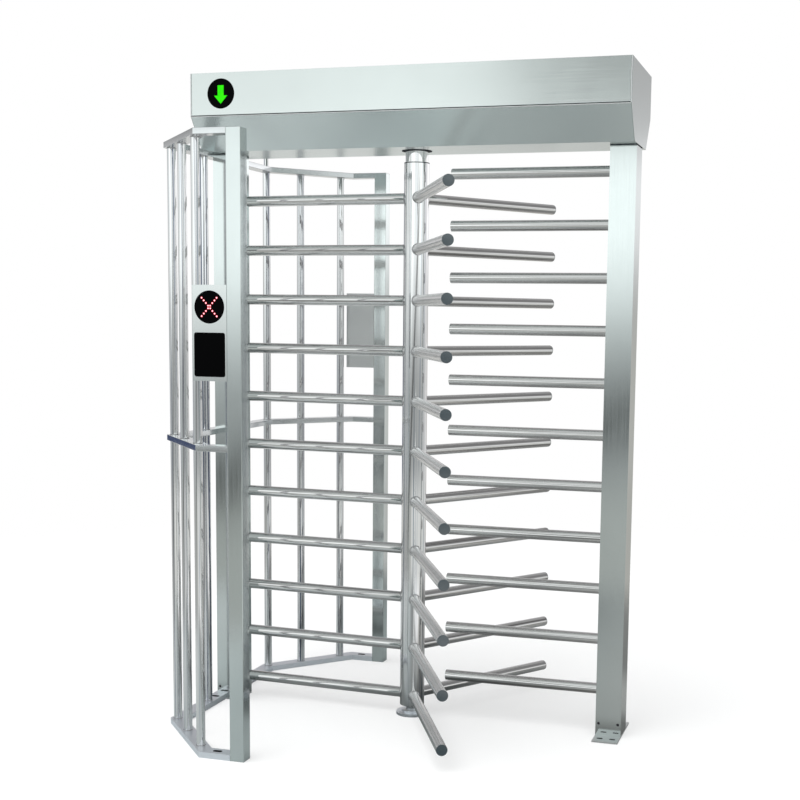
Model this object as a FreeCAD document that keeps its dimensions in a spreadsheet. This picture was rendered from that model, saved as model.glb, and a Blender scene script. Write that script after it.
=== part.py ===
import FreeCAD, Part
import math
import os
import re
import Sketcher

# Full height turnstile: a rotor with three wings of eleven arms turns between a fixed comb of
# bars on the right and a half-octagon cage on the left, and hangs from a header that holds the
# locking mechanism. Millimetres, X to the right along the header, Y to the back, Z up, with the
# origin on the floor at the rotor's axis.

# Driving dimensions, each under its own name
lengths = {
    # Header casing
    "header_underside": 2040,
    "header_bevel_rise": 112,
    "header_fascia_height": 148,
    "header_half_depth": 204,
    "header_bevel_inset": 86,
    "header_setback": 3,
    "header_overhang": 3,
    "end_plate": 3,
    "casing_sheet": 2,
    "tray_flange": 20,
    "seam_gap": 1.5,
    "collar_hole_radius": 50,
    "cable_hole_radius": 14,
    "cover_screw_radius": 2.5,
    "cover_screw_pitch": 250,
    "screw_head_radius": 5,
    "screw_head_height": 2.5,

    # Posts at the two ends of the header
    "post_width": 90,
    "post_depth": 112,
    "post_wall": 3,
    "post_cap": 6,
    "comb_clearance": 27,
    "wing_clearance": 4,
    "foot_plate": 6,
    "foot_flange": 70,
    "foot_upstand": 84,
    "foot_slot_length": 20,
    "foot_slot_width": 9,
    "foot_slot_spacing": 44,
    "foot_slot_offset": 38,
    "foot_screw_height": 48,
    "foot_screw_inset": 11,

    # Rotor
    "column_radius": 44.5,
    "column_wall": 3,
    "column_bottom": 36,
    "column_drop": 40,
    "arm_radius": 19,
    "arm_wall": 1.5,
    "arm_reach": 671,
    "arm_cap": 3,
    "cap_plug": 14,
    "arm_count": 11,
    "lowest_arm": 76,
    "top_arm_drop": 164,
    "wing_turn": 63.5,
    "fit_gap": 0.05,

    # Fixed comb
    "comb_rise": 82,
    "comb_start": 86.5,
    "comb_end": 2,

    # Cage
    "cage_margin": 36,
    "front_run": 113,
    "cage_post": 50,
    "cage_post_wall": 2,
    "corner_run": 270,
    "corner_depth": 309,
    "post_setback": 15,
    "hoop_width": 50,
    "hoop_thickness": 20,
    "middle_hoop_top": 1040,
    "tube_radius": 15,
    "tube_wall": 1.5,
    "tube_near": 58,
    "tube_far": 240,
    "side_tube": 152,
    "anchor_slot_length": 31,
    "anchor_slot_width": 12,
    "anchor_slot_side": 95,
    "conduit_radius": 10,
    "conduit_wall": 1.5,
    "conduit_bend": 40,
    "conduit_drop": 85,

    # Reader panels on the cage posts
    "reader_width": 120,
    "reader_height": 305,
    "reader_bottom": 1247,
    "reader_sheet": 2,
    "stop_lens_radius": 52,
    "stop_lens_height": 235,
    "window_width": 108,
    "window_height": 140,
    "window_middle": 84,
    "window_corner": 7,
    "lens_flange": 4,
    "lens_gap": 0.3,
    "lens_proud": 0.6,
    "led_radius": 2.6,
    "led_height": 1.2,
    "led_across": 7.5,
    "led_down": 8.3,

    # Arrow indicators in the header fascias
    "arrow_inset": 118,
    "arrow_drop": 72,
    "arrow_lens_radius": 51.5,
    "arrow_shaft_half": 11.5,
    "arrow_head_half": 25.5,
    "arrow_tail": 28,
    "arrow_neck": 7,
    "arrow_tip": 35,

    # Bottom pivot
    "floor_disc_radius": 58,
    "floor_disc_height": 10,
    "floor_step_radius": 38,
    "floor_step_height": 8,
    "pivot_collar_radius": 22,
    "pivot_radius": 12,
    "pivot_top": 72,
    "bush_height": 34,
    "anchor_circle": 48,
    "anchor_hole_radius": 4.5,

    # Drive inside the header
    "rail_size": 40,
    "rail_wall": 3,
    "rail_clearance": 6,
    "drive_plate_height": 10,
    "drive_plate_overhang": 23,
    "drive_plate_left": 170,
    "drive_plate_right": 175,
    "drive_hole_radius": 34,
    "shaft_radius": 25,
    "shaft_shoulder": 29,
    "shaft_collar": 40,
    "shaft_spigot": 50,
    "shaft_rise": 94,
    "bearing_outer": 40,
    "bearing_width": 16,
    "bearing_race": 4,
    "housing_flange": 65,
    "housing_flange_height": 12,
    "housing_boss": 50,
    "housing_lip": 2,
    "housing_bolt_circle": 57.5,
    "bolt_radius": 3,
    "gear_module": 2,
    "gear_teeth": 72,
    "pinion_teeth": 24,
    "gear_width": 12,
    "gear_rise": 44,
    "gear_hub": 34,
    "gear_hub_drop": 4,
    "wheel_radius": 70,
    "wheel_width": 12,
    "wheel_gap": 8,
    "notch_count": 12,
    "notch_width": 15,
    "notch_depth": 10,
    "damper_radius": 28,
    "damper_height": 38,
    "damper_shaft": 6,
    "pawl_pivot_x": 80,
    "pawl_pivot_y": 88,
    "pawl_pin": 8,
    "pawl_lift": 1,
    "pawl_post_flare": 5,
    "pawl_post_step": 2,
    "pawl_post_head": 7,
    "spring_room": 2.3,
    "spring_wire": 1.7,
    "spring_rise": 6,
    "pawl_half_width": 9,
    "pawl_tail": 40,
    "pawl_clearance": 1.5,
    "pawl_tooth_width": 9,
    "plunger_pin": 3,
    "plunger_slot": 9,
    "plunger_radius": 5,
    "plunger_slot_play": 3,
    "plunger_eye_length": 14,
    "plunger_eye_width": 12,
    "plunger_eye_height": 10,
    "plunger_stroke": 20,
    "solenoid_size": 30,
    "solenoid_length": 46,
    "solenoid_gap": 24,
    "solenoid_back": 8,
    "solenoid_foot": 20,
    "solenoid_rise": 6,
    "sensor_radius": 6,
    "sensor_length": 70,
    "sensor_gap": 3,
    "sensor_bracket_gap": 8,
    "sensor_bracket_sheet": 4,
    "control_left": 250,
    "control_length": 260,
    "control_half_width": 95,
    "control_height": 90,
    "control_wall": 2,
    "board_inset": 12,
    "board_rise": 8,
    "board_sheet": 2,
    "board_leg_inset": 22,
    "board_leg_radius": 4,
}

doc = FreeCAD.newDocument("full_height_turnstile")
sizes = doc.addObject("Spreadsheet::Sheet", "Sizes")
aliases = []


def enter(alias, content):
    """One row of the sheet: the name beside its number or formula."""
    aliases.append(alias)
    row = str(len(aliases))
    sizes.set("A" + row, alias)
    sizes.set("B" + row, content)
    sizes.setAlias("B" + row, alias)


for alias, number in lengths.items():
    enter(alias, str(number))

# Places that follow from the driving dimensions
enter("left_post_left", "=arm_reach + wing_clearance + post_width")
enter("side_reach", "=left_post_left + post_setback")
enter("header_left", "=side_reach - header_setback")
enter("right_post_left", "=arm_reach + comb_clearance")
enter("header_right", "=right_post_left + post_width + header_overhang")
enter("cage_half_depth", "=arm_reach + cage_margin")
enter("corner_reach", "=side_reach - corner_run")
enter("side_half_length", "=cage_half_depth - corner_depth")
enter("cage_post_left", "=corner_reach - front_run")
enter("column_top", "=header_underside - column_drop")
enter("arm_pitch", "=(header_underside - top_arm_drop - lowest_arm) / (arm_count - 1)")
enter("lowest_comb", "=lowest_arm + comb_rise")
enter("comb_inner", "=column_radius + comb_start")
enter("arrow_offset", "=header_left - arrow_inset")
enter("rail_outer", "=header_half_depth - header_bevel_inset - rail_clearance")
enter("drive_plate_half_width", "=rail_outer + drive_plate_overhang")
enter("drive_top", "=header_underside + casing_sheet + rail_size + drive_plate_height")
enter("shaft_top", "=drive_top + shaft_rise")
enter("gear_bottom", "=drive_top + gear_rise")
doc.recompute()

# The finished pieces, in the order they are made
published = []


def cells(text):
    """The expression with each known name pointed at its cell."""
    def point(match):
        word = match.group(0)
        return "Sizes." + word if word in aliases else word
    return re.sub(r"[a-z]+(?:_[a-z]+)+", point, text)


def value(text):
    """The number that an expression gives at present."""
    result = sizes.evalExpression(cells(text))
    return float(result.Value) if hasattr(result, "Value") else float(result)


def bind(item, name, text):
    item.setExpression(name, cells(text))


TURNS = {
    "z": FreeCAD.Rotation(),
    "x": FreeCAD.Rotation(FreeCAD.Vector(0, 1, 0), 90),
    "y": FreeCAD.Rotation(FreeCAD.Vector(1, 0, 0), -90),
}


def place(item, corner, turn=None):
    item.Placement = FreeCAD.Placement(FreeCAD.Vector(), turn or FreeCAD.Rotation())
    for letter, text in zip("xyz", corner):
        bind(item, ".Placement.Base." + letter, text)
    return item


def box(name, corner, extent, turn=None):
    item = doc.addObject("Part::Box", name)
    for key, text in zip(("Length", "Width", "Height"), extent):
        bind(item, key, text)
    return place(item, corner, turn)


def cylinder(name, foot, radius, height, axis="z"):
    item = doc.addObject("Part::Cylinder", name)
    bind(item, "Radius", radius)
    bind(item, "Height", height)
    return place(item, foot, TURNS[axis])


def join(name, items):
    item = doc.addObject("Part::MultiFuse", name)
    item.Shapes = items
    return item


def cut(name, base, tools):
    item = doc.addObject("Part::Cut", name)
    item.Base = base
    item.Tool = tools[0] if len(tools) == 1 else join(name + "_tools", tools)
    return item


def group(name, items):
    item = doc.addObject("Part::Compound", name)
    item.Links = items
    return item


def publish(item, node):
    item.Label = node
    published.append(item)
    return item


def tube(name, foot, radius, wall, height, axis="z"):
    outer = cylinder(name + "_outside", foot, radius, height, axis)
    inner = cylinder(name + "_bore", foot, radius + " - " + wall, height, axis)
    return cut(name, outer, [inner])


def plane(body, role):
    return [item for item in body.Origin.OriginFeatures if item.Role == role][0]


def sketch(body, name, role, offset="0"):
    item = body.newObject("Sketcher::SketchObject", name)
    item.AttachmentSupport = (plane(body, role), [""])
    item.MapMode = "FlatFace"
    bind(item, ".AttachmentOffset.Base.z", offset)
    return item


def fix_point(drawing, index, end, across, up):
    for kind, text in (("DistanceX", across), ("DistanceY", up)):
        number = drawing.addConstraint(Sketcher.Constraint(kind, -1, 1, index, end, value(text)))
        bind(drawing, "Constraints[%d]" % number, text)


def outline(drawing, points):
    """A closed outline of straight edges whose corners are bound to the sheet."""
    corners = [FreeCAD.Vector(value(across), value(up), 0) for across, up in points]
    count = len(points)
    lines = []
    for index in range(count):
        edge = Part.LineSegment(corners[index], corners[(index + 1) % count])
        lines.append(drawing.addGeometry(edge))
    for index in range(count):
        follower = lines[(index + 1) % count]
        drawing.addConstraint(Sketcher.Constraint("Coincident", lines[index], 2, follower, 1))
        fix_point(drawing, lines[index], 1, *points[index])


def padded(name, role, points, length, offset="0"):
    """A body made by raising one closed outline off one of its own planes."""
    body = doc.addObject("PartDesign::Body", name)
    drawing = sketch(body, name + "_outline", role, offset)
    outline(drawing, points)
    pad = body.newObject("PartDesign::Pad", name + "_pad")
    pad.Profile = drawing
    bind(pad, "Length", length)
    return body


def turned(name, points):
    """A body turned about Z from (radius, height) points."""
    body = doc.addObject("PartDesign::Body", name)
    drawing = sketch(body, name + "_section", "XZ_Plane")
    outline(drawing, points)
    spin = body.newObject("PartDesign::Revolution", name + "_spin")
    spin.Profile = drawing
    spin.ReferenceAxis = (plane(body, "Z_Axis"), [""])
    spin.Angle = 360
    return body


# Heights that several pieces share
UNDERSIDE = "header_underside"
KINK = "(header_underside + header_bevel_rise)"
TOP = "(header_underside + header_bevel_rise + header_fascia_height)"
UNDER_HALF = "(header_half_depth - header_bevel_inset)"
TRAY_FLOOR = "(header_underside + casing_sheet)"
RAIL_TOP = "(header_underside + casing_sheet + rail_size)"
DRIVE_TOP = "drive_top"
CASE_START = "(-header_left + end_plate)"
CASE_LENGTH = "(header_left + header_right - 2 * end_plate)"
BEARING_BOTTOM = "(%s + housing_flange_height)" % DRIVE_TOP
WHEEL_BOTTOM = "(gear_bottom + gear_width + wheel_gap)"
GEAR_DISTANCE = "(gear_module * (gear_teeth + pinion_teeth) / 2)"


def make_header():
    """The casing: a bent tray with bevelled sides, a cover over it and two end plates."""
    half = "header_half_depth"
    sheet = "casing_sheet"
    flange_top = KINK + " + tray_flange"
    side = [
        (UNDER_HALF, UNDERSIDE),
        (half, KINK),
        (half + " - " + sheet, KINK),
        (half + " - " + sheet, flange_top),
        (half + " - 2 * " + sheet, flange_top),
        (half + " - 2 * " + sheet, KINK),
        (UNDER_HALF + " - " + sheet + " / 2", TRAY_FLOOR),
    ]
    mirrored = [("-(" + across + ")", up) for across, up in reversed(side)]
    tray = padded("tray_sheet", "YZ_Plane", side + mirrored, CASE_LENGTH, CASE_START)
    screws = []
    tray_tools = [
        cylinder("tray_collar_hole", ("0", "0", UNDERSIDE), "collar_hole_radius", "casing_sheet"),
        cylinder("tray_cable_hole", ("-left_post_left + post_width / 2", "0", UNDERSIDE),
                 "cable_hole_radius", "casing_sheet"),
    ]
    cover = padded("cover_sheet", "YZ_Plane", [
        (half, KINK + " + seam_gap"),
        (half, TOP),
        ("-" + half, TOP),
        ("-" + half, KINK + " + seam_gap"),
        ("-" + half + " + " + sheet, KINK + " + seam_gap"),
        ("-" + half + " + " + sheet, TOP + " - " + sheet),
        (half + " - " + sheet, TOP + " - " + sheet),
        (half + " - " + sheet, KINK + " + seam_gap"),
    ], CASE_LENGTH, CASE_START)
    arrow_hole = cylinder("cover_arrow_hole", ("-arrow_offset", "-" + half, TOP + " - arrow_drop"),
                          "arrow_lens_radius + lens_gap", "2 * " + half, "y")
    conduit_hole = cylinder("cover_conduit_hole",
                            ("-side_reach + hoop_width / 2", "0", TOP + " - conduit_drop"),
                            "conduit_radius", half, "y")
    screw_holes = []
    for index in range(-3, 3):
        across = "%d * cover_screw_pitch + cover_screw_pitch / 2" % index
        height = KINK + " + tray_flange / 2"
        for label, pool in (("tray", tray_tools), ("cover", screw_holes)):
            hole = cylinder("%s_screw_hole_%d" % (label, index + 3),
                            (across, half + " - 3 * " + sheet, height),
                            "cover_screw_radius", "4 * " + sheet, "y")
            pool.append(hole)
        head = cylinder("cover_screw_head_%d" % (index + 3), (across, half, height),
                        "screw_head_radius", "screw_head_height", "y")
        shank = cylinder("cover_screw_shank_%d" % (index + 3),
                         (across, half + " - 3 * " + sheet, height),
                         "cover_screw_radius", "3 * " + sheet, "y")
        screws.append(join("cover_screw_%d" % (index + 3), [head, shank]))
    publish(cut("tray", tray, tray_tools), "header_tray")
    publish(cut("cover", cover, [arrow_hole, conduit_hole] + screw_holes), "header_cover")
    publish(group("cover_screw_set", screws), "cover_screws")
    section = [
        (UNDER_HALF, UNDERSIDE),
        (half, KINK),
        (half, TOP),
        ("-" + half, TOP),
        ("-" + half, KINK),
        ("-" + UNDER_HALF, UNDERSIDE),
    ]
    right = padded("end_plate_right", "YZ_Plane", section, "end_plate", "header_right - end_plate")
    left = padded("end_plate_left", "YZ_Plane", section, "end_plate", "-header_left")
    publish(right, "header_end_plate_right")
    publish(left, "header_end_plate_left")
    rails = []
    for name, side_y in (("front", "-rail_outer"), ("rear", "rail_outer - rail_size")):
        outside = box("rail_outside_" + name, (CASE_START, side_y, TRAY_FLOOR),
                      (CASE_LENGTH, "rail_size", "rail_size"))
        inside = box("rail_inside_" + name,
                     (CASE_START, side_y + " + rail_wall", TRAY_FLOOR + " + rail_wall"),
                     (CASE_LENGTH, "rail_size - 2 * rail_wall", "rail_size - 2 * rail_wall"))
        rails.append(cut("rail_" + name, outside, [inside]))
    publish(group("rails", rails), "header_rails")


def make_post(name, left, node, foot_node, flange):
    """A box post that stands over its foot's upstand and carries one end of the header.

    The post with no flange on its foot is the one that the cables come up through.
    """
    back = "-post_depth / 2"
    outside = box(name + "_outside", (left, back, "foot_plate"),
                  ("post_width", "post_depth", UNDERSIDE + " - foot_plate"))
    inside = box(name + "_inside", (left + " + post_wall", back + " + post_wall", "foot_plate"),
                 ("post_width - 2 * post_wall", "post_depth - 2 * post_wall",
                  UNDERSIDE + " - foot_plate - post_cap"))
    plate = box(name + "_foot_base", (left, back + " - " + flange, "0"),
                ("post_width", "post_depth + 2 * " + flange, "foot_plate"))
    stub = box(name + "_foot_stub",
               (left + " + post_wall", back + " + post_wall", "foot_plate"),
               ("post_width - 2 * post_wall", "post_depth - 2 * post_wall", "foot_upstand"))
    hollow = box(name + "_foot_hollow",
                 (left + " + 2 * post_wall", back + " + 2 * post_wall", "foot_plate"),
                 ("post_width - 4 * post_wall", "post_depth - 4 * post_wall", "foot_upstand"))
    post_tools = [inside]
    foot_tools = [hollow]
    screws = []
    if flange == "0":
        middle = left + " + post_width / 2"
        post_tools.append(cylinder(name + "_cable_way_out", (middle, "0", UNDERSIDE + " - post_cap"),
                                   "cable_hole_radius", "post_cap"))
        foot_tools.append(cylinder(name + "_cable_way_in", (middle, "0", "0"),
                                   "cable_hole_radius", "foot_plate"))
    for index, across in enumerate((left + " + foot_screw_inset",
                                    left + " + post_width - foot_screw_inset")):
        for label, start, head_start in (
                ("front", back, back + " - screw_head_height"),
                ("rear", "post_depth / 2 - 3 * post_wall", "post_depth / 2")):
            tag = "%s_%s_%d" % (name, label, index)
            post_tools.append(cylinder(tag + "_post_hole", (across, start, "foot_screw_height"),
                                       "cover_screw_radius", "3 * post_wall", "y"))
            foot_tools.append(cylinder(tag + "_foot_hole", (across, start, "foot_screw_height"),
                                       "cover_screw_radius", "3 * post_wall", "y"))
            shank = cylinder(tag + "_shank", (across, start, "foot_screw_height"),
                             "cover_screw_radius", "3 * post_wall", "y")
            head = cylinder(tag + "_head", (across, head_start, "foot_screw_height"),
                            "screw_head_radius", "screw_head_height", "y")
            screws.append(join(tag + "_screw", [shank, head]))
    if flange != "0":
        for label, sign in (("front", "-1"), ("rear", "1")):
            row = sign + " * (post_depth / 2 + foot_slot_offset)"
            for index, shift in enumerate(("-foot_slot_spacing / 2", "foot_slot_spacing / 2")):
                middle = left + " + post_width / 2 + " + shift
                foot_tools += slot(name + "_%s_slot_%d" % (label, index), middle, row, "0",
                                   "foot_slot_length", "foot_slot_width", "foot_plate")
    publish(cut(name + "_tube", outside, post_tools), node)
    foot = join(name + "_foot_solid", [plate, stub])
    publish(cut(name + "_foot", foot, foot_tools), foot_node)
    return screws


def slot(name, across, along, height, length, width, depth):
    """The pieces that cut one round-ended slot, lengthwise along X."""
    half_run = "(" + length + " - " + width + ") / 2"
    run = box(name + "_run", (across + " - " + half_run, along + " - " + width + " / 2", height),
              (length + " - " + width, width, depth))
    ends = []
    for index, sign in enumerate(("-", "+")):
        ends.append(cylinder(name + "_end_%d" % index, (across + " " + sign + " " + half_run, along,
                                                        height), width + " / 2", depth))
    return [run] + ends


def make_posts():
    screws = make_post("right_side", "right_post_left", "right_post", "right_post_foot",
                       "foot_flange")
    screws += make_post("left_side", "-left_post_left", "left_post", "left_post_foot", "0")
    publish(group("post_screw_set", screws), "post_foot_screws")
    bars = []
    length = "right_post_left - comb_inner"
    for index in range(int(value("arm_count"))):
        height = "lowest_comb + %d * arm_pitch" % index
        outside = cylinder("comb_outside_%d" % index, ("comb_inner", "0", height),
                           "arm_radius", length, "x")
        bore = cylinder("comb_bore_%d" % index, ("comb_inner + comb_end", "0", height),
                        "arm_radius - arm_wall", length + " - comb_end", "x")
        bars.append(cut("comb_bar_%d" % index, outside, [bore]))
    publish(group("comb", bars), "comb_bars")


def make_rotor():
    """The column with its three wings of arms, their end caps and the two stub ends."""
    column = tube("column", ("0", "0", "column_bottom"), "column_radius", "column_wall",
                  "column_top - column_bottom")
    publish(column, "rotor_column")
    for letter, turn in (("a", "-wing_turn"), ("b", "120 - wing_turn"), ("c", "240 - wing_turn")):
        arms = []
        caps = []
        for index in range(int(value("arm_count"))):
            height = "lowest_arm + %d * arm_pitch" % index
            tag = "wing_%s_%d" % (letter, index)
            outside = cylinder(tag + "_outside", ("0", "0", height), "arm_radius",
                               "arm_reach - arm_cap", "x")
            bore = cylinder(tag + "_bore", ("0", "0", height), "arm_radius - arm_wall",
                            "arm_reach - arm_cap", "x")
            saddle = cylinder(tag + "_saddle", ("0", "0", height + " - 2 * arm_radius"),
                              "column_radius", "4 * arm_radius")
            arms.append(cut(tag + "_arm", outside, [bore, saddle]))
            disc = cylinder(tag + "_disc", ("arm_reach - arm_cap", "0", height), "arm_radius",
                            "arm_cap", "x")
            plug = cylinder(tag + "_plug", ("arm_reach - arm_cap - cap_plug", "0", height),
                            "arm_radius - arm_wall - fit_gap", "cap_plug", "x")
            caps.append(join(tag + "_cap", [disc, plug]))
        for items, node in ((arms, "wing_%s_arms"), (caps, "wing_%s_caps")):
            set_of = group(node % letter + "_set", items)
            set_of.Placement = FreeCAD.Placement(FreeCAD.Vector(), FreeCAD.Rotation())
            bind(set_of, ".Placement.Rotation.Angle", turn)
            publish(set_of, node % letter)
    bore = "column_radius - column_wall - fit_gap"
    shaft = turned("shaft_body", [
        ("0", "column_top - shaft_spigot"),
        (bore, "column_top - shaft_spigot"),
        (bore, "column_top"),
        ("shaft_collar", "column_top"),
        ("shaft_collar", TRAY_FLOOR + " + rail_size / 2"),
        ("shaft_shoulder", TRAY_FLOOR + " + rail_size / 2"),
        ("shaft_shoulder", BEARING_BOTTOM),
        ("shaft_radius", BEARING_BOTTOM),
        ("shaft_radius", "shaft_top"),
        ("0", "shaft_top"),
    ])
    publish(shaft, "rotor_shaft")
    bush = turned("bush_body", [
        ("pivot_radius + fit_gap", "column_bottom"),
        (bore, "column_bottom"),
        (bore, "column_bottom + bush_height"),
        ("pivot_radius + fit_gap", "column_bottom + bush_height"),
    ])
    publish(bush, "lower_bush")


def make_pivot():
    """The floor disc with its anchor holes, and the pin that the column turns on."""
    disc = turned("floor_disc", [
        ("0", "0"),
        ("floor_disc_radius", "0"),
        ("floor_disc_radius", "floor_disc_height"),
        ("floor_step_radius", "floor_disc_height"),
        ("floor_step_radius", "floor_disc_height + floor_step_height"),
        ("0", "floor_disc_height + floor_step_height"),
    ])
    holes = []
    for index in range(4):
        angle = 45 + 90 * index
        across = "anchor_circle * cos(%d)" % angle
        along = "anchor_circle * sin(%d)" % angle
        holes.append(cylinder("anchor_hole_%d" % index, (across, along, "0"),
                              "anchor_hole_radius", "floor_disc_height"))
    base = "floor_disc_height + floor_step_height"
    publish(cut("floor_plate_solid", disc, holes), "floor_plate")
    pin = turned("pivot_body", [
        ("0", base),
        ("pivot_collar_radius", base),
        ("pivot_collar_radius", "column_bottom"),
        ("pivot_radius", "column_bottom"),
        ("pivot_radius", "pivot_top"),
        ("0", "pivot_top"),
    ])
    publish(pin, "pivot_pin")


# Cage outline, seen from above: a short front run, an oblique run, the long side, and the same
# again towards the rear post
RUN_ANGLE = "atan((cage_half_depth - side_half_length) / (side_reach - corner_reach))"
FRONT_SHIFT = "tan(%s / 2)" % RUN_ANGLE
SIDE_SHIFT = "tan((90 deg - %s) / 2)" % RUN_ANGLE


def cage_corners(inset):
    """Corner points of the cage line at a distance inside the outer edge, front to rear."""
    front = "(cage_half_depth - %s)" % inset
    corner = "(-corner_reach + %s * %s)" % (inset, FRONT_SHIFT)
    side = "(-side_reach + %s)" % inset
    half = "(side_half_length - %s * %s)" % (inset, SIDE_SHIFT)
    return [("-cage_post_left", "-" + front), (corner, "-" + front), (side, "-" + half),
            (side, half), (corner, front), ("-cage_post_left", front)]


def make_cage():
    """Three flat hoops, the tubes between them and the two square end posts."""
    hoop_outline = cage_corners("0") + list(reversed(cage_corners("hoop_width")))
    levels = (("bottom", "hoop_thickness"), ("middle", "middle_hoop_top"), ("top", UNDERSIDE))
    for name, top in levels:
        hoop = padded("hoop_" + name + "_bar", "XY_Plane", hoop_outline, "hoop_thickness",
                      top + " - hoop_thickness")
        tools = [box("hoop_notch_" + name,
                     ("-left_post_left", "-post_depth / 2", top + " - hoop_thickness"),
                     ("hoop_width", "post_depth", "hoop_thickness"))]
        if name == "bottom":
            middle = "-side_reach + hoop_width / 2"
            run = "-(cage_post_left + corner_reach) / 2"
            centre = "(cage_half_depth - hoop_width / 2)"
            for tag, across, along in (("front", run, "-" + centre), ("rear", run, centre),
                                       ("side_front", middle, "-anchor_slot_side"),
                                       ("side_rear", middle, "anchor_slot_side")):
                tools += slot("anchor_slot_" + tag, across, along, "0", "anchor_slot_length",
                              "anchor_slot_width", "hoop_thickness")
        publish(cut("hoop_" + name + "_cut", hoop, tools), "hoop_" + name)
    line = cage_corners("hoop_width / 2")
    corner, side = line[1], line[2]
    spots = [side, (side[0], "-side_tube")]
    for distance in ("tube_near", "tube_far"):
        spots.append((corner[0] + " - " + distance + " * cos(" + RUN_ANGLE + ")",
                      corner[1] + " + " + distance + " * sin(" + RUN_ANGLE + ")"))
    spots += [(across, "-(" + along + ")") for across, along in spots]
    spans = (("lower", "hoop_thickness", "middle_hoop_top - 2 * hoop_thickness"),
             ("upper", "middle_hoop_top", UNDERSIDE + " - middle_hoop_top - hoop_thickness"))
    for name, bottom, height in spans:
        tubes = [tube("cage_tube_%s_%d" % (name, index), (across, along, bottom), "tube_radius",
                      "tube_wall", height) for index, (across, along) in enumerate(spots)]
        publish(group("cage_tube_set_" + name, tubes), "cage_tubes_" + name)
    for name, along in (("front", "-cage_half_depth"), ("rear", "cage_half_depth - cage_post")):
        outside = box("cage_post_outside_" + name, ("-cage_post_left", along, "0"),
                      ("cage_post", "cage_post", UNDERSIDE))
        inside = box("cage_post_inside_" + name,
                     ("-cage_post_left + cage_post_wall", along + " + cage_post_wall", "0"),
                     ("cage_post - 2 * cage_post_wall", "cage_post - 2 * cage_post_wall",
                      UNDERSIDE + " - cage_post_wall"))
        publish(cut("cage_post_tube_" + name, outside, [inside]), "cage_post_" + name)


def make_conduit():
    """The cable pipe that rises from the cage's rear corner and bends into the header."""
    across = "(-side_reach + hoop_width / 2)"
    along = cage_corners("hoop_width / 2")[3][1]
    bend_height = TOP + " - conduit_drop - conduit_bend"
    runs = []
    for tag, radius in (("outside", "conduit_radius"), ("bore", "conduit_radius - conduit_wall")):
        rise = cylinder("conduit_rise_" + tag, (across, along, UNDERSIDE), radius,
                        bend_height + " - " + UNDERSIDE)
        elbow = doc.addObject("Part::Torus", "conduit_elbow_" + tag)
        bind(elbow, "Radius1", "conduit_bend")
        bind(elbow, "Radius2", radius)
        elbow.Angle3 = 90
        quarter = FreeCAD.Rotation(FreeCAD.Vector(0, 1, 0), FreeCAD.Vector(0, 0, 1),
                                   FreeCAD.Vector(1, 0, 0), "XYZ")
        place(elbow, (across, along + " - conduit_bend", bend_height), quarter)
        reach = cylinder("conduit_reach_" + tag,
                         (across, "header_half_depth - 2 * casing_sheet", TOP + " - conduit_drop"),
                         radius, along + " - conduit_bend - header_half_depth + 2 * casing_sheet",
                         "y")
        runs.append(join("conduit_" + tag, [rise, elbow, reach]))
    publish(cut("conduit", runs[0], [runs[1]]), "cable_conduit")


def rounded_plate(name, corner, extent, radius):
    """A plate upright in XZ whose four corners are rounded."""
    plate = box(name + "_plate", corner, extent)
    return fillet_edges(name, plate, radius)


def fillet_edges(name, base, radius):
    doc.recompute()
    item = doc.addObject("Part::Fillet", name)
    item.Base = base
    amount = value(radius)
    edges = []
    for index, edge in enumerate(base.Shape.Edges, 1):
        direction = edge.tangentAt(edge.FirstParameter)
        if abs(direction.y) > 0.99:
            edges.append((index, amount, amount))
    item.Edges = edges
    return item


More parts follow.
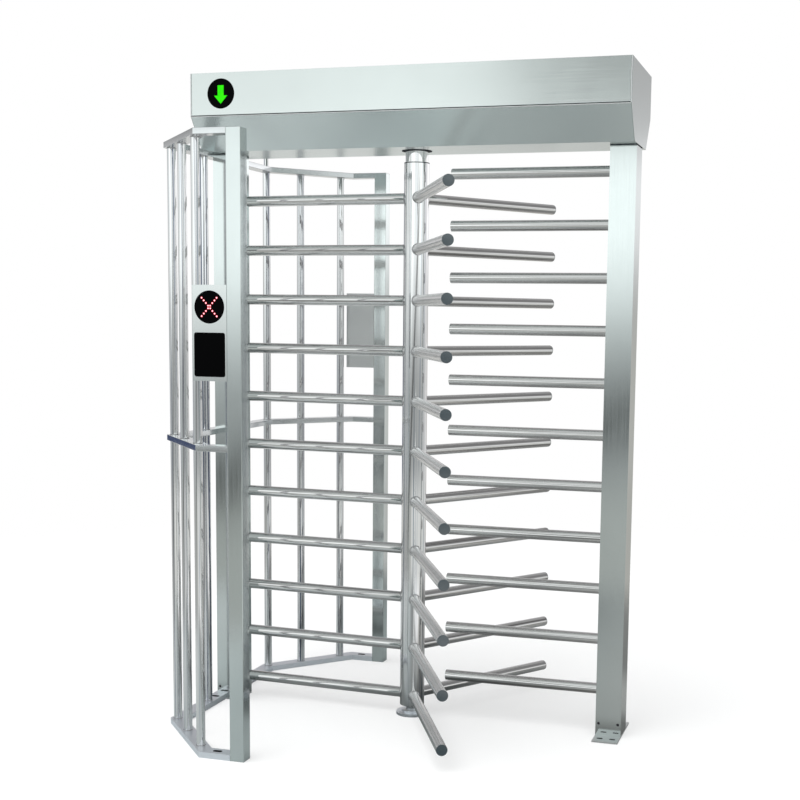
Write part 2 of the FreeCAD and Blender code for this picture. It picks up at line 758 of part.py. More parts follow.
def make_readers():
    """Two reader boxes: sheet housing, front panel, stop sign lens with lamps, reader window."""
    sets = {key: [] for key in ("housing", "panel", "window", "lens", "leds", "card")}
    left = "(-cage_post_left - reader_width)"
    middle = "(-cage_post_left - reader_width / 2)"
    sign_height = "(reader_bottom + stop_lens_height)"
    window_base = "(reader_bottom + window_middle - window_height / 2)"
    window_left = "(%s - window_width / 2)" % middle
    depth = "(cage_post - reader_sheet)"
    for name, rear in (("front", False), ("rear", True)):
        def along(distance, thickness="0"):
            """Y of a layer that starts a distance behind the outer face."""
            if rear:
                return "cage_half_depth - (%s) - (%s)" % (distance, thickness)
            return "-cage_half_depth + (%s)" % distance
        shell = box("reader_shell_" + name, (left, along("reader_sheet", depth), "reader_bottom"),
                    ("reader_width", depth, "reader_height"))
        room_depth = depth + " - reader_sheet"
        room = box("reader_room_" + name,
                   (left + " + reader_sheet", along("reader_sheet", room_depth),
                    "reader_bottom + reader_sheet"),
                   ("reader_width - 2 * reader_sheet", room_depth,
                    "reader_height - 2 * reader_sheet"))
        sets["housing"].append(cut("reader_housing_" + name, shell, [room]))
        sheet = box("reader_sheet_" + name, (left, along("0", "reader_sheet"), "reader_bottom"),
                    ("reader_width", "reader_sheet", "reader_height"))
        sign_hole = cylinder("reader_sign_hole_" + name,
                             (middle, along("0", "reader_sheet"), sign_height),
                             "stop_lens_radius + lens_gap", "reader_sheet", "y")
        window_hole = rounded_plate(
            "reader_window_hole_" + name,
            (window_left + " - lens_gap", along("0", "reader_sheet"),
             window_base + " - lens_gap"),
            ("window_width + 2 * lens_gap", "reader_sheet", "window_height + 2 * lens_gap"),
            "window_corner + lens_gap")
        sets["panel"].append(cut("reader_panel_" + name, sheet, [sign_hole, window_hole]))
        window = rounded_plate(
            "reader_window_face_" + name,
            (window_left, along("-lens_proud", "reader_sheet + lens_proud"), window_base),
            ("window_width", "reader_sheet + lens_proud", "window_height"), "window_corner")
        window_back = box(
            "reader_window_back_" + name,
            (window_left + " - lens_flange / 2", along("reader_sheet", "reader_sheet"),
             window_base + " - lens_flange / 2"),
            ("window_width + lens_flange", "reader_sheet", "window_height + lens_flange"))
        sets["window"].append(join("reader_window_" + name, [window, window_back]))
        lens = cylinder("stop_lens_face_" + name,
                        (middle, along("-lens_proud", "reader_sheet + lens_proud"), sign_height),
                        "stop_lens_radius", "reader_sheet + lens_proud", "y")
        lens_back = cylinder("stop_lens_back_" + name,
                             (middle, along("reader_sheet", "reader_sheet"), sign_height),
                             "stop_lens_radius + lens_flange", "reader_sheet", "y")
        sets["lens"].append(join("stop_lens_" + name, [lens, lens_back]))
        card = box("card_reader_" + name,
                   (window_left + " + window_width / 8",
                    along("2 * reader_sheet", "cage_post / 3"), window_base + " + window_height / 8"),
                   ("window_width * 3 / 4", "cage_post / 3", "window_height * 3 / 4"))
        sets["card"].append(card)
        for row in (-1, 1):
            for index in range(-4, 4):
                step = index + 0.5
                shift = "%.1f * led_across" % step
                drop = "%.1f * led_down" % (step * row)
                lamp = cylinder("stop_led_%s_%d_%d" % (name, row + 1, index + 4),
                                (middle + " + " + shift,
                                 along("-lens_proud - led_height", "led_height"),
                                 sign_height + " + " + drop),
                                "led_radius", "led_height", "y")
                sets["leds"].append(lamp)
    for key, node in (("housing", "reader_housings"), ("panel", "reader_panels"),
                      ("window", "reader_windows"), ("lens", "stop_lenses"),
                      ("leds", "stop_leds"), ("card", "card_readers")):
        publish(group(key + "_set", sets[key]), node)


def make_arrows():
    """The round arrow indicators set into the front and rear fascias of the header."""
    lenses = []
    lights = []
    height = TOP + " - arrow_drop"
    for name, rear in (("front", False), ("rear", True)):
        face_start = "header_half_depth - casing_sheet" if rear else (
            "-header_half_depth - lens_proud")
        back_start = "header_half_depth - 2 * casing_sheet" if rear else (
            "-header_half_depth + casing_sheet")
        face = cylinder("arrow_face_" + name, ("-arrow_offset", face_start, height),
                        "arrow_lens_radius", "casing_sheet + lens_proud", "y")
        back = cylinder("arrow_back_" + name, ("-arrow_offset", back_start, height),
                        "arrow_lens_radius + lens_flange", "casing_sheet", "y")
        lenses.append(join("arrow_lens_" + name, [face, back]))
        start = "-header_half_depth - lens_proud" if rear else "header_half_depth + lens_proud"
        light = padded("arrow_light_" + name, "XZ_Plane", [
            ("-arrow_offset - arrow_shaft_half", height + " + arrow_tail"),
            ("-arrow_offset + arrow_shaft_half", height + " + arrow_tail"),
            ("-arrow_offset + arrow_shaft_half", height + " - arrow_neck"),
            ("-arrow_offset + arrow_head_half", height + " - arrow_neck"),
            ("-arrow_offset", height + " - arrow_tip"),
            ("-arrow_offset - arrow_head_half", height + " - arrow_neck"),
            ("-arrow_offset - arrow_shaft_half", height + " - arrow_neck"),
        ], "led_height", start)
        if rear:
            light.Tip.Reversed = True
        lights.append(light)
    publish(group("arrow_lens_set", lenses), "arrow_lenses")
    publish(group("arrow_light_set", lights), "arrow_lights")


def make_drive_frame():
    """The drive plate on the rails, the bearing housing and what is bolted beside it."""
    plate = box("drive_plate_blank",
                ("-drive_plate_left", "-drive_plate_half_width", RAIL_TOP),
                ("drive_plate_left + drive_plate_right", "2 * drive_plate_half_width",
                 "drive_plate_height"))
    plate_tools = [cylinder("drive_plate_hole", ("0", "0", RAIL_TOP), "drive_hole_radius",
                            "drive_plate_height")]
    housing = turned("housing_body", [
        ("drive_hole_radius", DRIVE_TOP),
        ("housing_flange", DRIVE_TOP),
        ("housing_flange", DRIVE_TOP + " + housing_flange_height"),
        ("housing_boss", DRIVE_TOP + " + housing_flange_height"),
        ("housing_boss", BEARING_BOTTOM + " + bearing_width + housing_lip"),
        ("bearing_outer", BEARING_BOTTOM + " + bearing_width + housing_lip"),
        ("bearing_outer", BEARING_BOTTOM),
        ("drive_hole_radius", BEARING_BOTTOM),
    ])
    housing_tools = []
    bolts = []
    for index in range(4):
        angle = 45 + 90 * index
        across = "housing_bolt_circle * cos(%d)" % angle
        along = "housing_bolt_circle * sin(%d)" % angle
        for label, pool in (("plate", plate_tools), ("housing", housing_tools)):
            pool.append(cylinder("%s_bolt_hole_%d" % (label, index), (across, along, RAIL_TOP),
                                 "bolt_radius", "drive_plate_height + housing_flange_height"))
        shank = cylinder("housing_bolt_shank_%d" % index, (across, along, RAIL_TOP),
                         "bolt_radius", "drive_plate_height + housing_flange_height")
        head = cylinder("housing_bolt_head_%d" % index,
                        (across, along, DRIVE_TOP + " + housing_flange_height"),
                        "2 * bolt_radius", "bolt_radius")
        bolts.append(join("housing_bolt_%d" % index, [shank, head]))
    publish(cut("drive_plate_solid", plate, plate_tools), "drive_plate")
    publish(cut("housing_solid", housing, housing_tools), "bearing_housing")
    publish(group("housing_bolt_set", bolts), "bearing_housing_bolts")
    race = "bearing_race"
    inner_edge = "(shaft_radius + " + race + ")"
    bearing_top = BEARING_BOTTOM + " + bearing_width"
    outer = turned("outer_race", [
        (inner_edge + " + 2 * fit_gap", BEARING_BOTTOM),
        ("bearing_outer", BEARING_BOTTOM),
        ("bearing_outer", bearing_top),
        (inner_edge + " + 2 * fit_gap", bearing_top),
    ])
    publish(outer, "bearing_outer_ring")
    inner = turned("inner_race", [
        ("shaft_radius", BEARING_BOTTOM),
        (inner_edge, BEARING_BOTTOM),
        (inner_edge, bearing_top),
        ("shaft_radius", bearing_top),
    ])
    publish(inner, "bearing_inner_ring")
    damper = cylinder("damper_case", ("-" + GEAR_DISTANCE, "0", DRIVE_TOP), "damper_radius",
                      "damper_height")
    socket = cylinder("damper_socket", ("-" + GEAR_DISTANCE, "0", DRIVE_TOP + " + damper_height / 2"),
                      "damper_shaft + fit_gap", "damper_height / 2")
    publish(cut("damper_solid", damper, [socket]), "damper_body")
    bracket = box("sensor_bracket",
                  ("-wheel_radius - sensor_length + sensor_bracket_gap", "-2 * sensor_radius",
                   DRIVE_TOP),
                  ("sensor_bracket_sheet", "4 * sensor_radius",
                   WHEEL_BOTTOM + " + 3 * sensor_radius - " + DRIVE_TOP))
    eye = ("-wheel_radius - sensor_length", "0", WHEEL_BOTTOM + " + wheel_width / 2")
    bracket_hole = cylinder("sensor_bracket_hole", eye, "sensor_radius", "sensor_length / 2", "x")
    sensor = cylinder("sensor_barrel", eye, "sensor_radius", "sensor_length - sensor_gap",
                      "x")
    publish(group("sensor_set", [cut("sensor_bracket_cut", bracket, [bracket_hole]), sensor]),
            "wheel_sensor")


def tooth_outline(teeth, module, thickness, phase):
    """Corner points of a spur gear with involute flanks, first tooth at the phase angle."""
    pitch_radius = teeth * module / 2
    base_radius = pitch_radius * math.cos(math.radians(20))
    root = pitch_radius - 1.25 * module
    tip = pitch_radius + module

    def involute(radius):
        angle = math.acos(min(1.0, base_radius / radius))
        return math.tan(angle) - angle

    steps = 4
    radii = [max(root, base_radius) + (tip - max(root, base_radius)) * step / steps
             for step in range(steps + 1)]
    radii = [root] + radii if base_radius > root else radii
    points = []
    for tooth in range(teeth):
        middle = phase + 2 * math.pi * tooth / teeth
        halves = [thickness / (2 * pitch_radius) + involute(pitch_radius)
                  - involute(max(radius, base_radius)) for radius in radii]
        rising = [(radius, middle - half) for radius, half in zip(radii, halves)]
        falling = [(radius, middle + half) for radius, half in zip(radii, halves)]
        points += rising + falling[::-1]
    return [FreeCAD.Vector(radius * math.cos(angle), radius * math.sin(angle), 0)
            for radius, angle in points]


def gear(name, teeth_alias, phase, centre, bottom, hub_radius, hub_drop, bore):
    teeth = int(value(teeth_alias))
    module = value("gear_module")
    backlash = 0.15 * module
    corners = tooth_outline(teeth, module, math.pi * module / 2 - backlash / 2, phase)
    wire = Part.makePolygon(corners + [corners[0]])
    blank = Part.Face(wire).extrude(FreeCAD.Vector(0, 0, value("gear_width")))
    if hub_drop > 0:
        blank = blank.fuse(Part.makeCylinder(hub_radius, hub_drop, FreeCAD.Vector(0, 0, -hub_drop)))
    if bore > 0:
        blank = blank.cut(Part.makeCylinder(bore, value("gear_width") + hub_drop,
                                            FreeCAD.Vector(0, 0, -hub_drop)))
    item = doc.addObject("Part::Feature", name)
    item.Shape = blank
    item.Placement = FreeCAD.Placement(FreeCAD.Vector(centre, 0, bottom), FreeCAD.Rotation())
    return item


def make_gears():
    """The gear on the shaft and the pinion on the rotary damper that it drives."""
    bottom = value("gear_bottom")
    large = gear("drive_gear_solid", "gear_teeth", 0, 0, bottom, value("gear_hub"),
                 value("gear_hub_drop"), value("shaft_radius"))
    publish(large, "drive_gear")
    half_tooth = math.pi / int(value("pinion_teeth"))
    stem = bottom - value(DRIVE_TOP + " + damper_height / 2")
    small = gear("pinion_solid", "pinion_teeth", half_tooth, -value(GEAR_DISTANCE), bottom,
                 value("damper_shaft"), stem, 0)
    publish(small, "damper_pinion")


def make_ratchet():
    """The notched wheel, the two pawls that drop into it and the solenoids that pull them."""
    disc = cylinder("wheel_disc", ("0", "0", WHEEL_BOTTOM), "wheel_radius", "wheel_width")
    hub = cylinder("wheel_hub", ("0", "0", "gear_bottom + gear_width"), "gear_hub", "wheel_gap")
    tools = [cylinder("wheel_bore", ("0", "0", "gear_bottom + gear_width"), "shaft_radius",
                      "wheel_gap + wheel_width")]
    for index in range(int(value("notch_count"))):
        angle = "(%d * 360 / notch_count)" % index
        turn = FreeCAD.Rotation(FreeCAD.Vector(0, 0, 1), 360.0 * index / value("notch_count"))
        radial = "(wheel_radius - notch_depth)"
        notch = box("wheel_notch_%d" % index,
                    ("%s * cos(%s) + notch_width / 2 * sin(%s)" % (radial, angle, angle),
                     "%s * sin(%s) - notch_width / 2 * cos(%s)" % (radial, angle, angle),
                     WHEEL_BOTTOM),
                    ("2 * notch_depth", "notch_width", "wheel_width"), turn)
        tools.append(notch)
    publish(cut("wheel_solid", join("wheel_blank", [disc, hub]), tools), "ratchet_wheel")
    posts = []
    springs = []
    solenoids = []
    step = "(" + DRIVE_TOP + " + damper_height)"
    for name, sign in (("front", "-"), ("rear", "")):
        across = "pawl_pivot_x"
        along = sign + "pawl_pivot_y"
        low = cylinder("pawl_post_low_" + name, (across, along, DRIVE_TOP),
                       "pawl_pin + pawl_post_flare", "damper_height")
        waist = cylinder("pawl_post_waist_" + name, (across, along, step),
                         "pawl_pin + pawl_post_step", WHEEL_BOTTOM + " - pawl_lift - " + step)
        neck = cylinder("pawl_post_neck_" + name, (across, along, WHEEL_BOTTOM + " - pawl_lift"),
                        "pawl_pin", "wheel_width + pawl_lift + pawl_post_head")
        posts.append(join("pawl_post_" + name, [low, waist, neck]))
        spring = cylinder("pawl_spring_out_" + name, (across, along, step),
                          "pawl_pin + spring_room + spring_wire", "gear_width + spring_rise")
        spring_bore = cylinder("pawl_spring_in_" + name, (across, along, step),
                               "pawl_pin + spring_room", "gear_width + spring_rise")
        springs.append(cut("pawl_spring_" + name, spring, [spring_bore]))
        make_pawl(name, sign)
        solenoids.append(make_solenoid(name, sign))
    publish(group("pawl_post_set", posts), "pawl_posts")
    publish(group("pawl_spring_set", springs), "pawl_springs")
    publish(group("solenoid_set", solenoids), "solenoid_bodies")


def make_pawl(name, sign):
    """A flat lever on its post: a tooth over the wheel at one end, a slot at the other."""
    tip = "(wheel_radius + pawl_clearance)"
    tooth_root = "(pawl_pivot_y - pawl_half_width + pawl_lift)"
    lever = padded("pawl_lever_" + name, "XY_Plane", [
        ("-pawl_tooth_width / 2", sign + tip),
        ("pawl_tooth_width / 2", sign + tip),
        ("pawl_tooth_width / 2", sign + tooth_root),
        ("pawl_pivot_x - pawl_half_width", sign + "(pawl_pivot_y - 1.4 * pawl_half_width)"),
        ("pawl_pivot_x + pawl_half_width", sign + "(pawl_pivot_y - 1.4 * pawl_half_width)"),
        ("pawl_pivot_x + pawl_tail + plunger_slot", sign + "(pawl_pivot_y - pawl_half_width)"),
        ("pawl_pivot_x + pawl_tail + plunger_slot", sign + "(pawl_pivot_y + pawl_half_width)"),
        ("pawl_pivot_x + pawl_half_width", sign + "(pawl_pivot_y + 1.4 * pawl_half_width)"),
        ("pawl_pivot_x - pawl_half_width", sign + "(pawl_pivot_y + 1.4 * pawl_half_width)"),
        ("-pawl_tooth_width", sign + "(pawl_pivot_y + pawl_half_width / 2)"),
        ("-pawl_tooth_width", sign + tooth_root),
        ("-pawl_tooth_width / 2", sign + tooth_root),
    ], "wheel_width", WHEEL_BOTTOM)
    hole = cylinder("pawl_hole_" + name, ("pawl_pivot_x", sign + "pawl_pivot_y", WHEEL_BOTTOM),
                    "pawl_pin + fit_gap", "wheel_width")
    slot_tools = slot("pawl_slot_" + name, "pawl_pivot_x + pawl_tail", sign + "pawl_pivot_y",
                      WHEEL_BOTTOM, "plunger_slot + plunger_slot_play", "plunger_slot",
                      "wheel_width")
    publish(cut("pawl_solid_" + name, lever, [hole] + slot_tools), "pawl_" + name)


def make_solenoid(name, sign):
    """A solenoid box on its foot, with the plunger whose pin works the pawl's slot."""
    across = "(pawl_pivot_x + pawl_tail)"
    height = "(%s + wheel_width + solenoid_rise)" % WHEEL_BOTTOM
    start = "(pawl_pivot_y + solenoid_gap)"
    half = "solenoid_size / 2"
    bore_length = "(solenoid_length - solenoid_back)"
    rear = sign == ""
    case_y = start if rear else "-" + start + " - solenoid_length"
    foot_y = start if rear else "-" + start + " - solenoid_foot"
    case = box("solenoid_case_" + name, (across + " - " + half, case_y, height + " - " + half),
               ("solenoid_size", "solenoid_length", "solenoid_size"))
    foot = box("solenoid_foot_" + name, (across + " - " + half, foot_y, DRIVE_TOP),
               ("solenoid_size", "solenoid_foot", height + " - " + half + " - " + DRIVE_TOP))
    bore_y = start if rear else "-" + start + " - " + bore_length
    bore = cylinder("solenoid_bore_" + name, (across, bore_y, height), "plunger_radius + fit_gap",
                    bore_length, "y")
    eye_half = "plunger_eye_length / 2"
    eye_y = ("pawl_pivot_y - " if rear else "-pawl_pivot_y - ") + eye_half
    eye = box("plunger_eye_" + name,
              (across + " - plunger_eye_width / 2", eye_y, height + " - plunger_eye_height / 2"),
              ("plunger_eye_width", "plunger_eye_length", "plunger_eye_height"))
    rod_length = "(solenoid_gap + plunger_stroke - " + eye_half + ")"
    rod_y = ("pawl_pivot_y + " + eye_half if rear
             else "-pawl_pivot_y - " + eye_half + " - " + rod_length)
    rod = cylinder("plunger_rod_" + name, (across, rod_y, height), "plunger_radius", rod_length,
                   "y")
    pin = cylinder("plunger_pin_" + name, (across, sign + "pawl_pivot_y", WHEEL_BOTTOM + " + pawl_lift"),
                   "plunger_pin", "wheel_width")
    publish(join("plunger_solid_" + name, [eye, rod, pin]), "plunger_" + name)
    return cut("solenoid_" + name, join("solenoid_blank_" + name, [case, foot]), [bore])


def make_control_box():
    """The sheet box on the rails that holds the control board."""
    corner = ("control_left", "-control_half_width", RAIL_TOP)
    shell = box("control_shell", corner,
                ("control_length", "2 * control_half_width", "control_height"))
    room = box("control_room",
               ("control_left + control_wall", "-control_half_width + control_wall",
                RAIL_TOP + " + control_wall"),
               ("control_length - 2 * control_wall",
                "2 * control_half_width - 2 * control_wall", "control_height - control_wall"))
    publish(cut("control_box_solid", shell, [room]), "control_box")
    board_height = RAIL_TOP + " + control_wall + board_rise"
    board = box("control_board_sheet",
                ("control_left + board_inset", "-control_half_width + board_inset", board_height),
                ("control_length - 2 * board_inset", "2 * control_half_width - 2 * board_inset",
                 "board_sheet"))
    parts = [board]
    for index, (across, along, length, width, tall) in enumerate((
            (30, -70, 60, 50, 28), (110, -60, 40, 40, 12), (170, -65, 50, 30, 16),
            (40, 20, 80, 35, 20), (150, 15, 24, 40, 34), (190, 20, 30, 30, 10))):
        parts.append(box("board_block_%d" % index,
                         ("control_left + %d" % across, str(along),
                          board_height + " + board_sheet"),
                         (str(length), str(width), str(tall))))
    ends = ("control_left + board_leg_inset",
            "control_left + control_length - board_leg_inset")
    for index, (across, along) in enumerate((end, side) for end in ends for side in (-1, 1)):
        parts.append(cylinder("board_leg_%d" % index,
                              (across, "%d * (control_half_width - board_leg_inset)" % along,
                               RAIL_TOP + " + control_wall"), "board_leg_radius", "board_rise"))
    publish(join("control_board_solid", parts), "control_board")
    lid = box("control_lid_sheet",
              ("control_left", "-control_half_width", RAIL_TOP + " + control_height"),
              ("control_length", "2 * control_half_width", "control_wall"))
    publish(lid, "control_box_lid")


make_header()
make_posts()
make_rotor()
make_pivot()
make_cage()
make_conduit()
make_readers()
make_arrows()
make_drive_frame()
make_gears()
make_ratchet()
make_control_box()
doc.recompute()

faults = [item.Name for item in doc.Objects
          if "Invalid" in item.State or "Error" in item.State]
for item in published:
    if item.Shape.isNull() or not item.Shape.isValid() or not item.Shape.Solids:
        faults.append(item.Label)
if faults:
    raise RuntimeError("these pieces failed: " + ", ".join(faults))

os.makedirs("parts", exist_ok=True)
for item in published:
    item.Shape.exportStep("parts/" + item.Label + ".step")
print(len(published), "nodes")
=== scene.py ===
import math

import bmesh
import bpy
from mathutils import Matrix, Vector


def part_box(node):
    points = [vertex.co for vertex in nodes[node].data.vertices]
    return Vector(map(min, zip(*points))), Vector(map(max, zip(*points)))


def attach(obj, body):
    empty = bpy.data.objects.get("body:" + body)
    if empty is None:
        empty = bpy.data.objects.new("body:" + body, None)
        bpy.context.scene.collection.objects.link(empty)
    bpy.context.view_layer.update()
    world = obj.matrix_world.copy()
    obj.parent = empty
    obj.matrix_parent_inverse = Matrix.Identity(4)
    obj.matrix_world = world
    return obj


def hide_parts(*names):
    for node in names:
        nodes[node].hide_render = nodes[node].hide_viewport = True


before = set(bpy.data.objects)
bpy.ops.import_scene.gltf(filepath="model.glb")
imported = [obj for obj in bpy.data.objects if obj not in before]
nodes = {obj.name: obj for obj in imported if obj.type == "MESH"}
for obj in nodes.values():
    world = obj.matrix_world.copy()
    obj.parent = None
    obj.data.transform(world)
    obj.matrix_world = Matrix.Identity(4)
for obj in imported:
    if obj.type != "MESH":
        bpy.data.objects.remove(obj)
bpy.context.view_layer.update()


# The photographer stands a little right of the lane at eye height, about five metres away.
# The lens is a short telephoto, tipped a little down, with the picture shifted to hold the header.
lens_place = Vector((1.508, -4.598, 1.460))
turned_left = math.radians(16.43)
tipped_down = math.radians(6.83)
rolled = math.radians(0.73)
eye = bpy.data.cameras.new("eye")
eye.lens = 60.35
eye.sensor_width = 36.0
eye.shift_x = -0.0678
eye.shift_y = 0.0972
eye.clip_end = 100.0
viewer = bpy.data.objects.new("viewer", eye)
viewer.matrix_world = (Matrix.Translation(lens_place)
                       @ Matrix.Rotation(turned_left, 4, "Z")
                       @ Matrix.Rotation(math.pi / 2 - tipped_down, 4, "X")
                       @ Matrix.Rotation(rolled, 4, "Z"))
bpy.context.collection.objects.link(viewer)
bpy.context.scene.camera = viewer
bpy.context.scene.view_settings.view_transform = "Standard"


# The room that the polished steel mirrors: a bright front wall with a doorway between its posts,
# a dark skirting, a grey floor, a bright backdrop and an unlit ceiling. The camera itself looks
# past all this at white paper.
def ramp(tree, stops, value):
    """A colour ramp over the value, with a grey or a colour at each place."""
    node = tree.nodes.new("ShaderNodeValToRGB")
    marks = node.color_ramp.elements
    while len(marks) < len(stops):
        marks.new(0.5)
    for mark, (place, shade) in zip(marks, stops):
        mark.position = place
        mark.color = (shade, shade, shade, 1) if isinstance(shade, float) else (*shade, 1)
    tree.links.new(value, node.inputs[0])
    return node.outputs[0]


def sums(tree, operation, first, second, third=None):
    """One sum on two or three numbers, each a value or a socket."""
    node = tree.nodes.new("ShaderNodeMath")
    node.operation = operation
    for slot, item in enumerate((first, second, third)):
        if isinstance(item, (int, float)):
            node.inputs[slot].default_value = item
        elif item is not None:
            tree.links.new(item, node.inputs[slot])
    return node.outputs[0]


def fade(tree, value, start, end, low=0.0, high=1.0):
    """A smooth step from low to high as the value goes from start to end."""
    node = tree.nodes.new("ShaderNodeMapRange")
    node.interpolation_type = "SMOOTHSTEP"
    for name, amount in (("From Min", start), ("From Max", end), ("To Min", low), ("To Max", high)):
        node.inputs[name].default_value = amount
    tree.links.new(value, node.inputs["Value"])
    return node.outputs[0]


def patch(tree, *sides):
    """How much of a soft-edged patch lies here: one fade for each of its sides, multiplied."""
    amount = fade(tree, *sides[0])
    for side in sides[1:]:
        amount = sums(tree, "MULTIPLY", amount, fade(tree, *side))
    return amount


def mixed(tree, fac, first, second, blend="MIX"):
    """Two colours mixed by a number, each a colour or a socket."""
    node = tree.nodes.new("ShaderNodeMix")
    node.data_type = "RGBA"
    node.blend_type = blend
    for name, item in (("Factor", fac), ("A", first), ("B", second)):
        slot = [entry for entry in node.inputs if entry.name == name
                and entry.type == ("VALUE" if name == "Factor" else "RGBA")][0]
        if isinstance(item, (int, float)):
            slot.default_value = item
        elif isinstance(item, tuple):
            slot.default_value = (*item, 1)
        else:
            tree.links.new(item, slot)
    return [entry for entry in node.outputs if entry.type == "RGBA"][0]


def blended(tree, fac, first, second):
    """Two shaders mixed by a number or a socket."""
    node = tree.nodes.new("ShaderNodeMixShader")
    if isinstance(fac, float):
        node.inputs[0].default_value = fac
    else:
        tree.links.new(fac, node.inputs[0])
    tree.links.new(first, node.inputs[1])
    tree.links.new(second, node.inputs[2])
    return node.outputs[0]


black = (0.0, 0.0, 0.0)
room = bpy.data.worlds.new("room")
room.use_nodes = True
walls = room.node_tree
walls.nodes.clear()
way = walls.nodes.new("ShaderNodeSeparateXYZ")
walls.links.new(walls.nodes.new("ShaderNodeTexCoord").outputs["Generated"], way.inputs[0])
# The level goes from 0 straight down by 0.5 at the horizon to 1 straight up. The bearing goes
# once around from behind, by the left at 0.25, the front at 0.5 and the right at 0.75.
level = sums(walls, "MULTIPLY_ADD", way.outputs["Z"], 0.5, 0.5)
bearing = sums(walls, "ARCTAN2", way.outputs["X"], sums(walls, "MULTIPLY", way.outputs["Y"], -1.0))
around = sums(walls, "MULTIPLY_ADD", bearing, 0.5 / math.pi, 0.5)
panels = ramp(walls, [(0.0, 0.54), (0.08, 0.50), (0.12, 0.34), (0.17, 0.34), (0.21, 0.44),
                      (0.27, 0.50), (0.33, 0.72), (0.355, 0.72), (0.365, 0.36), (0.375, 0.65),
                      (0.40, 0.86), (0.425, 0.88), (0.445, 0.97), (0.455, 1.0), (0.475, 1.0),
                      (0.495, 0.84), (0.52, 0.88), (0.528, 0.50), (0.536, 0.86), (0.575, 0.84),
                      (0.586, 0.45), (0.597, 0.84), (0.65, 0.92), (0.665, 1.0), (0.69, 1.0),
                      (0.705, 0.55), (0.86, 0.55), (0.90, 0.80), (0.93, 0.90), (0.96, 0.62),
                      (0.975, 0.54), (1.0, 0.54)], around)
front_rise = ramp(walls, [(0.0, 0.82), (0.558, 0.84), (0.573, 0.70), (0.62, 0.66), (0.72, 0.52),
                          (0.80, 0.42), (0.90, 0.38), (0.96, 0.32), (1.0, 0.32)], level)
back_rise = ramp(walls, [(0.0, 0.50), (0.50, 0.52), (0.507, 0.60), (0.525, 0.88), (0.545, 1.0),
                         (0.553, 0.96), (0.567, 0.60), (0.585, 0.50), (0.60, 0.48), (0.65, 0.60),
                         (0.70, 0.62), (0.78, 0.42), (0.88, 0.46), (0.95, 0.40), (1.0, 0.32)],
                 level)
side_rise = ramp(walls, [(0.0, 0.92), (0.50, 0.98), (0.575, 1.0), (0.62, 0.48), (0.70, 0.42),
                         (1.0, 0.38)], level)
to_the_back = fade(walls, way.outputs["Y"], -0.3, 0.4)
right_side = patch(walls, (around, 0.68, 0.73), (around, 0.89, 0.85))
rise = mixed(walls, to_the_back, front_rise, back_rise)
rise = mixed(walls, right_side, rise, side_rise)
tinge = mixed(walls, to_the_back, (0.955, 1.0, 0.995), (0.99, 0.99, 1.0))
upper = mixed(walls, 1.0, mixed(walls, 1.0, rise, panels, "MULTIPLY"), tinge, "MULTIPLY")
doorway = patch(walls, (around, 0.4560, 0.4650), (level, 0.559, 0.570), (around, 0.540, 0.52),
                (level, 0.70, 0.66, 0.0, 0.62))
upper = mixed(walls, doorway, upper, black)
lower = ramp(walls, [(0.0, (0.26, 0.255, 0.24)), (0.06, (0.43, 0.43, 0.42)),
                     (0.15, (0.43, 0.43, 0.42)), (0.25, (0.24, 0.245, 0.245)),
                     (0.42, (0.26, 0.27, 0.26)), (0.475, (0.28, 0.29, 0.28)),
                     (0.50, (0.46, 0.47, 0.46)), (0.85, (0.42, 0.43, 0.42)),
                     (0.93, (0.42, 0.42, 0.42)), (0.96, (0.27, 0.265, 0.25)),
                     (1.0, (0.26, 0.255, 0.24))], around)
skirting = ramp(walls, [(0.0, (0.30, 0.295, 0.28)), (0.03, (0.37, 0.37, 0.36)),
                        (0.115, (0.30, 0.30, 0.29)), (0.13, (0.026, 0.038, 0.080)),
                        (0.172, (0.026, 0.038, 0.080)), (0.19, (0.28, 0.29, 0.30)),
                        (0.40, (0.26, 0.28, 0.28)), (0.42, (0.22, 0.23, 0.23)),
                        (0.60, (0.23, 0.24, 0.24)), (0.75, (0.26, 0.27, 0.27)),
                        (0.90, (0.45, 0.45, 0.45)), (0.93, (0.48, 0.48, 0.48)),
                        (0.96, (0.31, 0.305, 0.29)), (0.98, (0.27, 0.265, 0.25)),
                        (1.0, (0.30, 0.295, 0.28))], around)
ground = mixed(walls, fade(walls, level, 0.428, 0.448), lower, skirting)
wall_foot = sums(walls, "SUBTRACT", level, fade(walls, around, 0.43, 0.475, 0.0, 0.011))
shell = mixed(walls, fade(walls, wall_foot, 0.462, 0.526), ground, upper)
# Then its darker places: a kerb that slants across the front, and behind at the right a loft
# and a low corner.
slant = sums(walls, "SUBTRACT", level, sums(walls, "MULTIPLY_ADD", around, 0.52, 0.217))
kerb = patch(walls, (sums(walls, "ABSOLUTE", slant, 0.0), 0.005, 0.016, 0.66, 0.0),
             (around, 0.37, 0.40), (around, 0.66, 0.60))
shell = mixed(walls, kerb, shell, black)
loft = patch(walls, (level, 0.63, 0.72, 0.0, 0.42), (around, 0.72, 0.77), (around, 0.995, 0.95))
shell = mixed(walls, loft, shell, black)
far_corner = patch(walls, (level, 0.36, 0.29, 0.0, 0.68), (around, 0.68, 0.74),
                   (around, 0.93, 0.89))
shell = mixed(walls, far_corner, shell, black)
lit = walls.nodes.new("ShaderNodeBackground")
lit.inputs["Strength"].default_value = 1.8
walls.links.new(shell, lit.inputs["Color"])
paper = walls.nodes.new("ShaderNodeBackground")
paper.inputs["Color"].default_value = (1, 1, 1, 1)
seen_by_camera = walls.nodes.new("ShaderNodeLightPath").outputs["Is Camera Ray"]
around_all = blended(walls, seen_by_camera, lit.outputs[0], paper.outputs[0])
walls.links.new(around_all, walls.nodes.new("ShaderNodeOutputWorld").inputs[0])
bpy.context.scene.world = room


